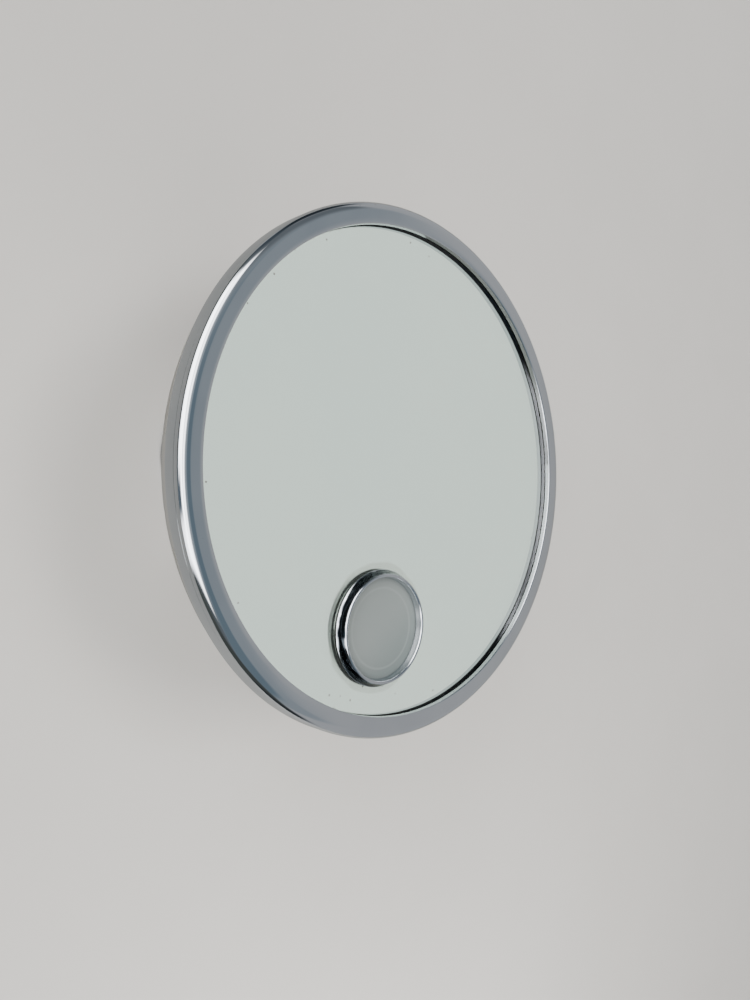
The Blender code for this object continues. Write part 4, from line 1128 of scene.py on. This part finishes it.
def make_wall():
    """A pale painted wall that is clear from behind and carries painted shade where metal mirrors it, and a
    pale floor.
    """
    made = Shading("wall_paint", (0.56, 0.53, 0.495), 0.0, 0.85)
    mottle = made.noise(160, 4, rough=0.6)
    grain = made.noise(2.2, 4)
    made.paint(made.steps(mottle, 0.3, 0.72), (0.545, 0.53, 0.508), (0.53, 0.515, 0.492))
    made.set("Normal", made.bump(grain, 0.08, 0.5))
    tree = made.tree
    see_through = made.node("ShaderNodeBsdfTransparent")
    behind = made.node("ShaderNodeNewGeometry").outputs["Backfacing"]
    # Painted shade: glossy rays see a dimmer wall, standing in for the head's shadow on the wall.
    mirrored_wall_shade = made.node("ShaderNodeBsdfDiffuse", {"Color": (0.27, 0.27, 0.26, 1.0)})
    path = made.node("ShaderNodeLightPath").outputs
    mirrored = made.node("ShaderNodeMixShader", {0: path["Is Glossy Ray"]})
    tree.links.new(made.shader.outputs[0], mirrored.inputs[1])
    tree.links.new(mirrored_wall_shade.outputs[0], mirrored.inputs[2])
    sides = made.node("ShaderNodeMixShader", {0: behind})
    tree.links.new(mirrored.outputs[0], sides.inputs[1])
    tree.links.new(see_through.outputs[0], sides.inputs[2])
    tree.links.new(sides.outputs[0], tree.nodes["Material Output"].inputs["Surface"])
    side, foot, top, out = 1700, -900, 900, 2600
    behind_rosette = radius_of("rosette_cover") - 1
    corners = [(-side, foot), (side, foot), (side, top), (-side, top)]
    stage_object("back_wall", flat([corners, circle((0, 0), behind_rosette)], 0.6), made.material)
    paint = Shading("floor_paint", (0.62, 0.61, 0.59), 0.0, 0.8)
    paint.paint(paint.noise(90, 4), (0.64, 0.63, 0.61), (0.58, 0.57, 0.55))
    floor = bmesh.new()
    corners = ((-out, -out), (out, -out), (out, out), (-out, out))
    floor.faces.new([floor.verts.new((x, y, foot)) for x, y in corners])
    floor = stage_object("floor", floor, paint.material)
    floor.visible_glossy = False


class Room(NodeTree):
    """What bright metal mirrors of the room, painted on the world in zones of bearing and height, in degrees.

    Bearing 0 looks from the mirror straight into the room, and bearings grow toward +X.
    """

    def __init__(self, tree):
        super().__init__(tree)
        way = self.node("ShaderNodeTexCoord").outputs["Generated"]
        parts = self.node("ShaderNodeSeparateXYZ", {0: way}).outputs
        ahead = self.maths("MULTIPLY", parts[1], -1.0)
        self.bearing = self.maths("MULTIPLY", self.maths("ARCTAN2", parts[0], ahead), math.degrees(1))
        self.height = self.maths("MULTIPLY", self.maths("ARCSINE", parts[2]), math.degrees(1))

    def zone(self, bearings, heights, soft=(5, 5), slope=0.0):
        """A patch between two bearings and two heights. slope lifts its heights with the bearing."""
        level = self.height
        if slope:
            level = self.maths("SUBTRACT", level, self.maths("MULTIPLY", self.bearing, slope))
        masks = []
        for value, (start, end), reach in ((self.bearing, bearings, soft[0]), (level, heights, soft[1])):
            masks.append(self.steps(value, start - reach, start + reach))
            masks.append(self.maths("SUBTRACT", 1.0, self.steps(value, end - reach, end + reach)))
        mask = masks[0]
        for other in masks[1:]:
            mask = self.maths("MULTIPLY", mask, other)
        return mask


def tone(level, tint=(1, 1, 1)):
    return tuple(level * t for t in tint)


def make_light():
    world = bpy.data.worlds.new("studio")
    bpy.context.scene.world = world
    world.use_nodes = True
    room = Room(world.node_tree)
    cool, green, warm, navy = (0.90, 1.0, 1.08), (0.94, 1.03, 0.97), (1.03, 1.0, 0.95), (0.76, 0.95, 1.12)
    everywhere = (-200, 200)
    window = room.zone((-82, -22), (-45, 52), (7, 6))
    zones = [
        (room.zone((-200, -86), (-60, 60)), tone(0.36, green)),
        (room.zone((-86, 37), (-75, 75), (3, 6)), tone(0.20, cool)),
        (room.zone((-12, 42), (-70, 40), (3, 14)), tone(0.40, cool)),
        (room.zone((-12, 29), (-70, 26), (4, 14)), tone(0.25, (0.76, 1.0, 1.18))),
        (room.zone((-98, -40), (-100, -52), (20, 7)), tone(0.12, green)),
        (window, tone(9.5)),
        (room.zone((-104, -84), (-70, 70), (3, 6)), tone(0.10, green)),
        (room.zone((-49, -37), (-30, 50), (4, 12)), tone(4.4)),
        (room.zone((-30, -9), (-36, 40), (9, 14)), tone(0.62, cool)),
        (room.zone((-120, -62), (-21, -2), (8, 7), 0.15), tone(0.22, navy)),
        (room.zone((-104, -70), (-46, -31), (7, 4)), tone(5.5)),
        (room.zone((60, 170), (-4, 22), (24, 16)), tone(0.50, warm)),
        (room.zone(everywhere, (-120, -66), (5, 6)), tone(0.09, green)),
        (room.zone((60, 140), (-120, -64), (16, 6)), tone(0.05, cool)),
        (room.zone((-105, -30), (64, 120), (14, 5)), tone(0.11, navy)),
        (room.zone(everywhere, (76, 120), (5, 5)), tone(0.05, navy)),
    ]
    colour = tone(0.56, (0.985, 1.0, 1.02))
    for mask, shade in zones:
        colour = room.blend(mask, colour, shade)
    in_glass = room.blend(window, tone(1.19, (0.955, 1.015, 0.99)), tone(1.5))
    path = room.node("ShaderNodeLightPath").outputs
    for share, shade in (
        (room.maths("MINIMUM", path["Transmission Depth"], 1.0), in_glass),
        (path["Is Diffuse Ray"], tone(0.29, (1.0, 0.995, 0.975))),
        (path["Is Camera Ray"], tone(0.78, (1.0, 0.985, 0.965))),
    ):
        colour = room.blend(share, colour, shade)
    room.fill(room.tree.nodes["Background"].inputs["Color"], colour)
    add_light("key", (-320, -2000, 100), (60, 0, -60), (600, 600), 23, (1.0, 0.985, 0.96))
    add_light("low fill", (220, -420, -700), (150, 0, -320), (300, 300), 4, (1.0, 0.99, 0.97))


def add_light(name, at, target, size, power, colour):
    """A soft square lamp that lights the object but isn't mirrored in it."""
    data = bpy.data.lights.new(name, "AREA")
    data.shape = "RECTANGLE"
    data.size, data.size_y = size[0] * MM, size[1] * MM
    data.energy = power
    data.color = colour
    light = bpy.data.objects.new(name, data)
    bpy.context.scene.collection.objects.link(light)
    light.location = Vector(at) * MM
    light.rotation_mode = "QUATERNION"
    light.rotation_quaternion = (Vector(target) - Vector(at)).to_track_quat("-Z", "Y")
    light.visible_glossy = False
    light.visible_transmission = False


make_camera()
make_wall()
make_light()
make_frame()
make_glass()
make_window()
make_inside_of_head()
make_shell()
make_switch()
make_grommets()
make_lamp()
dress_leads()
make_screws()
make_rivets()
make_links()
make_channels()
make_knuckle()
make_clevis()
make_rosette()
make_wall_plate()
make_terminals()
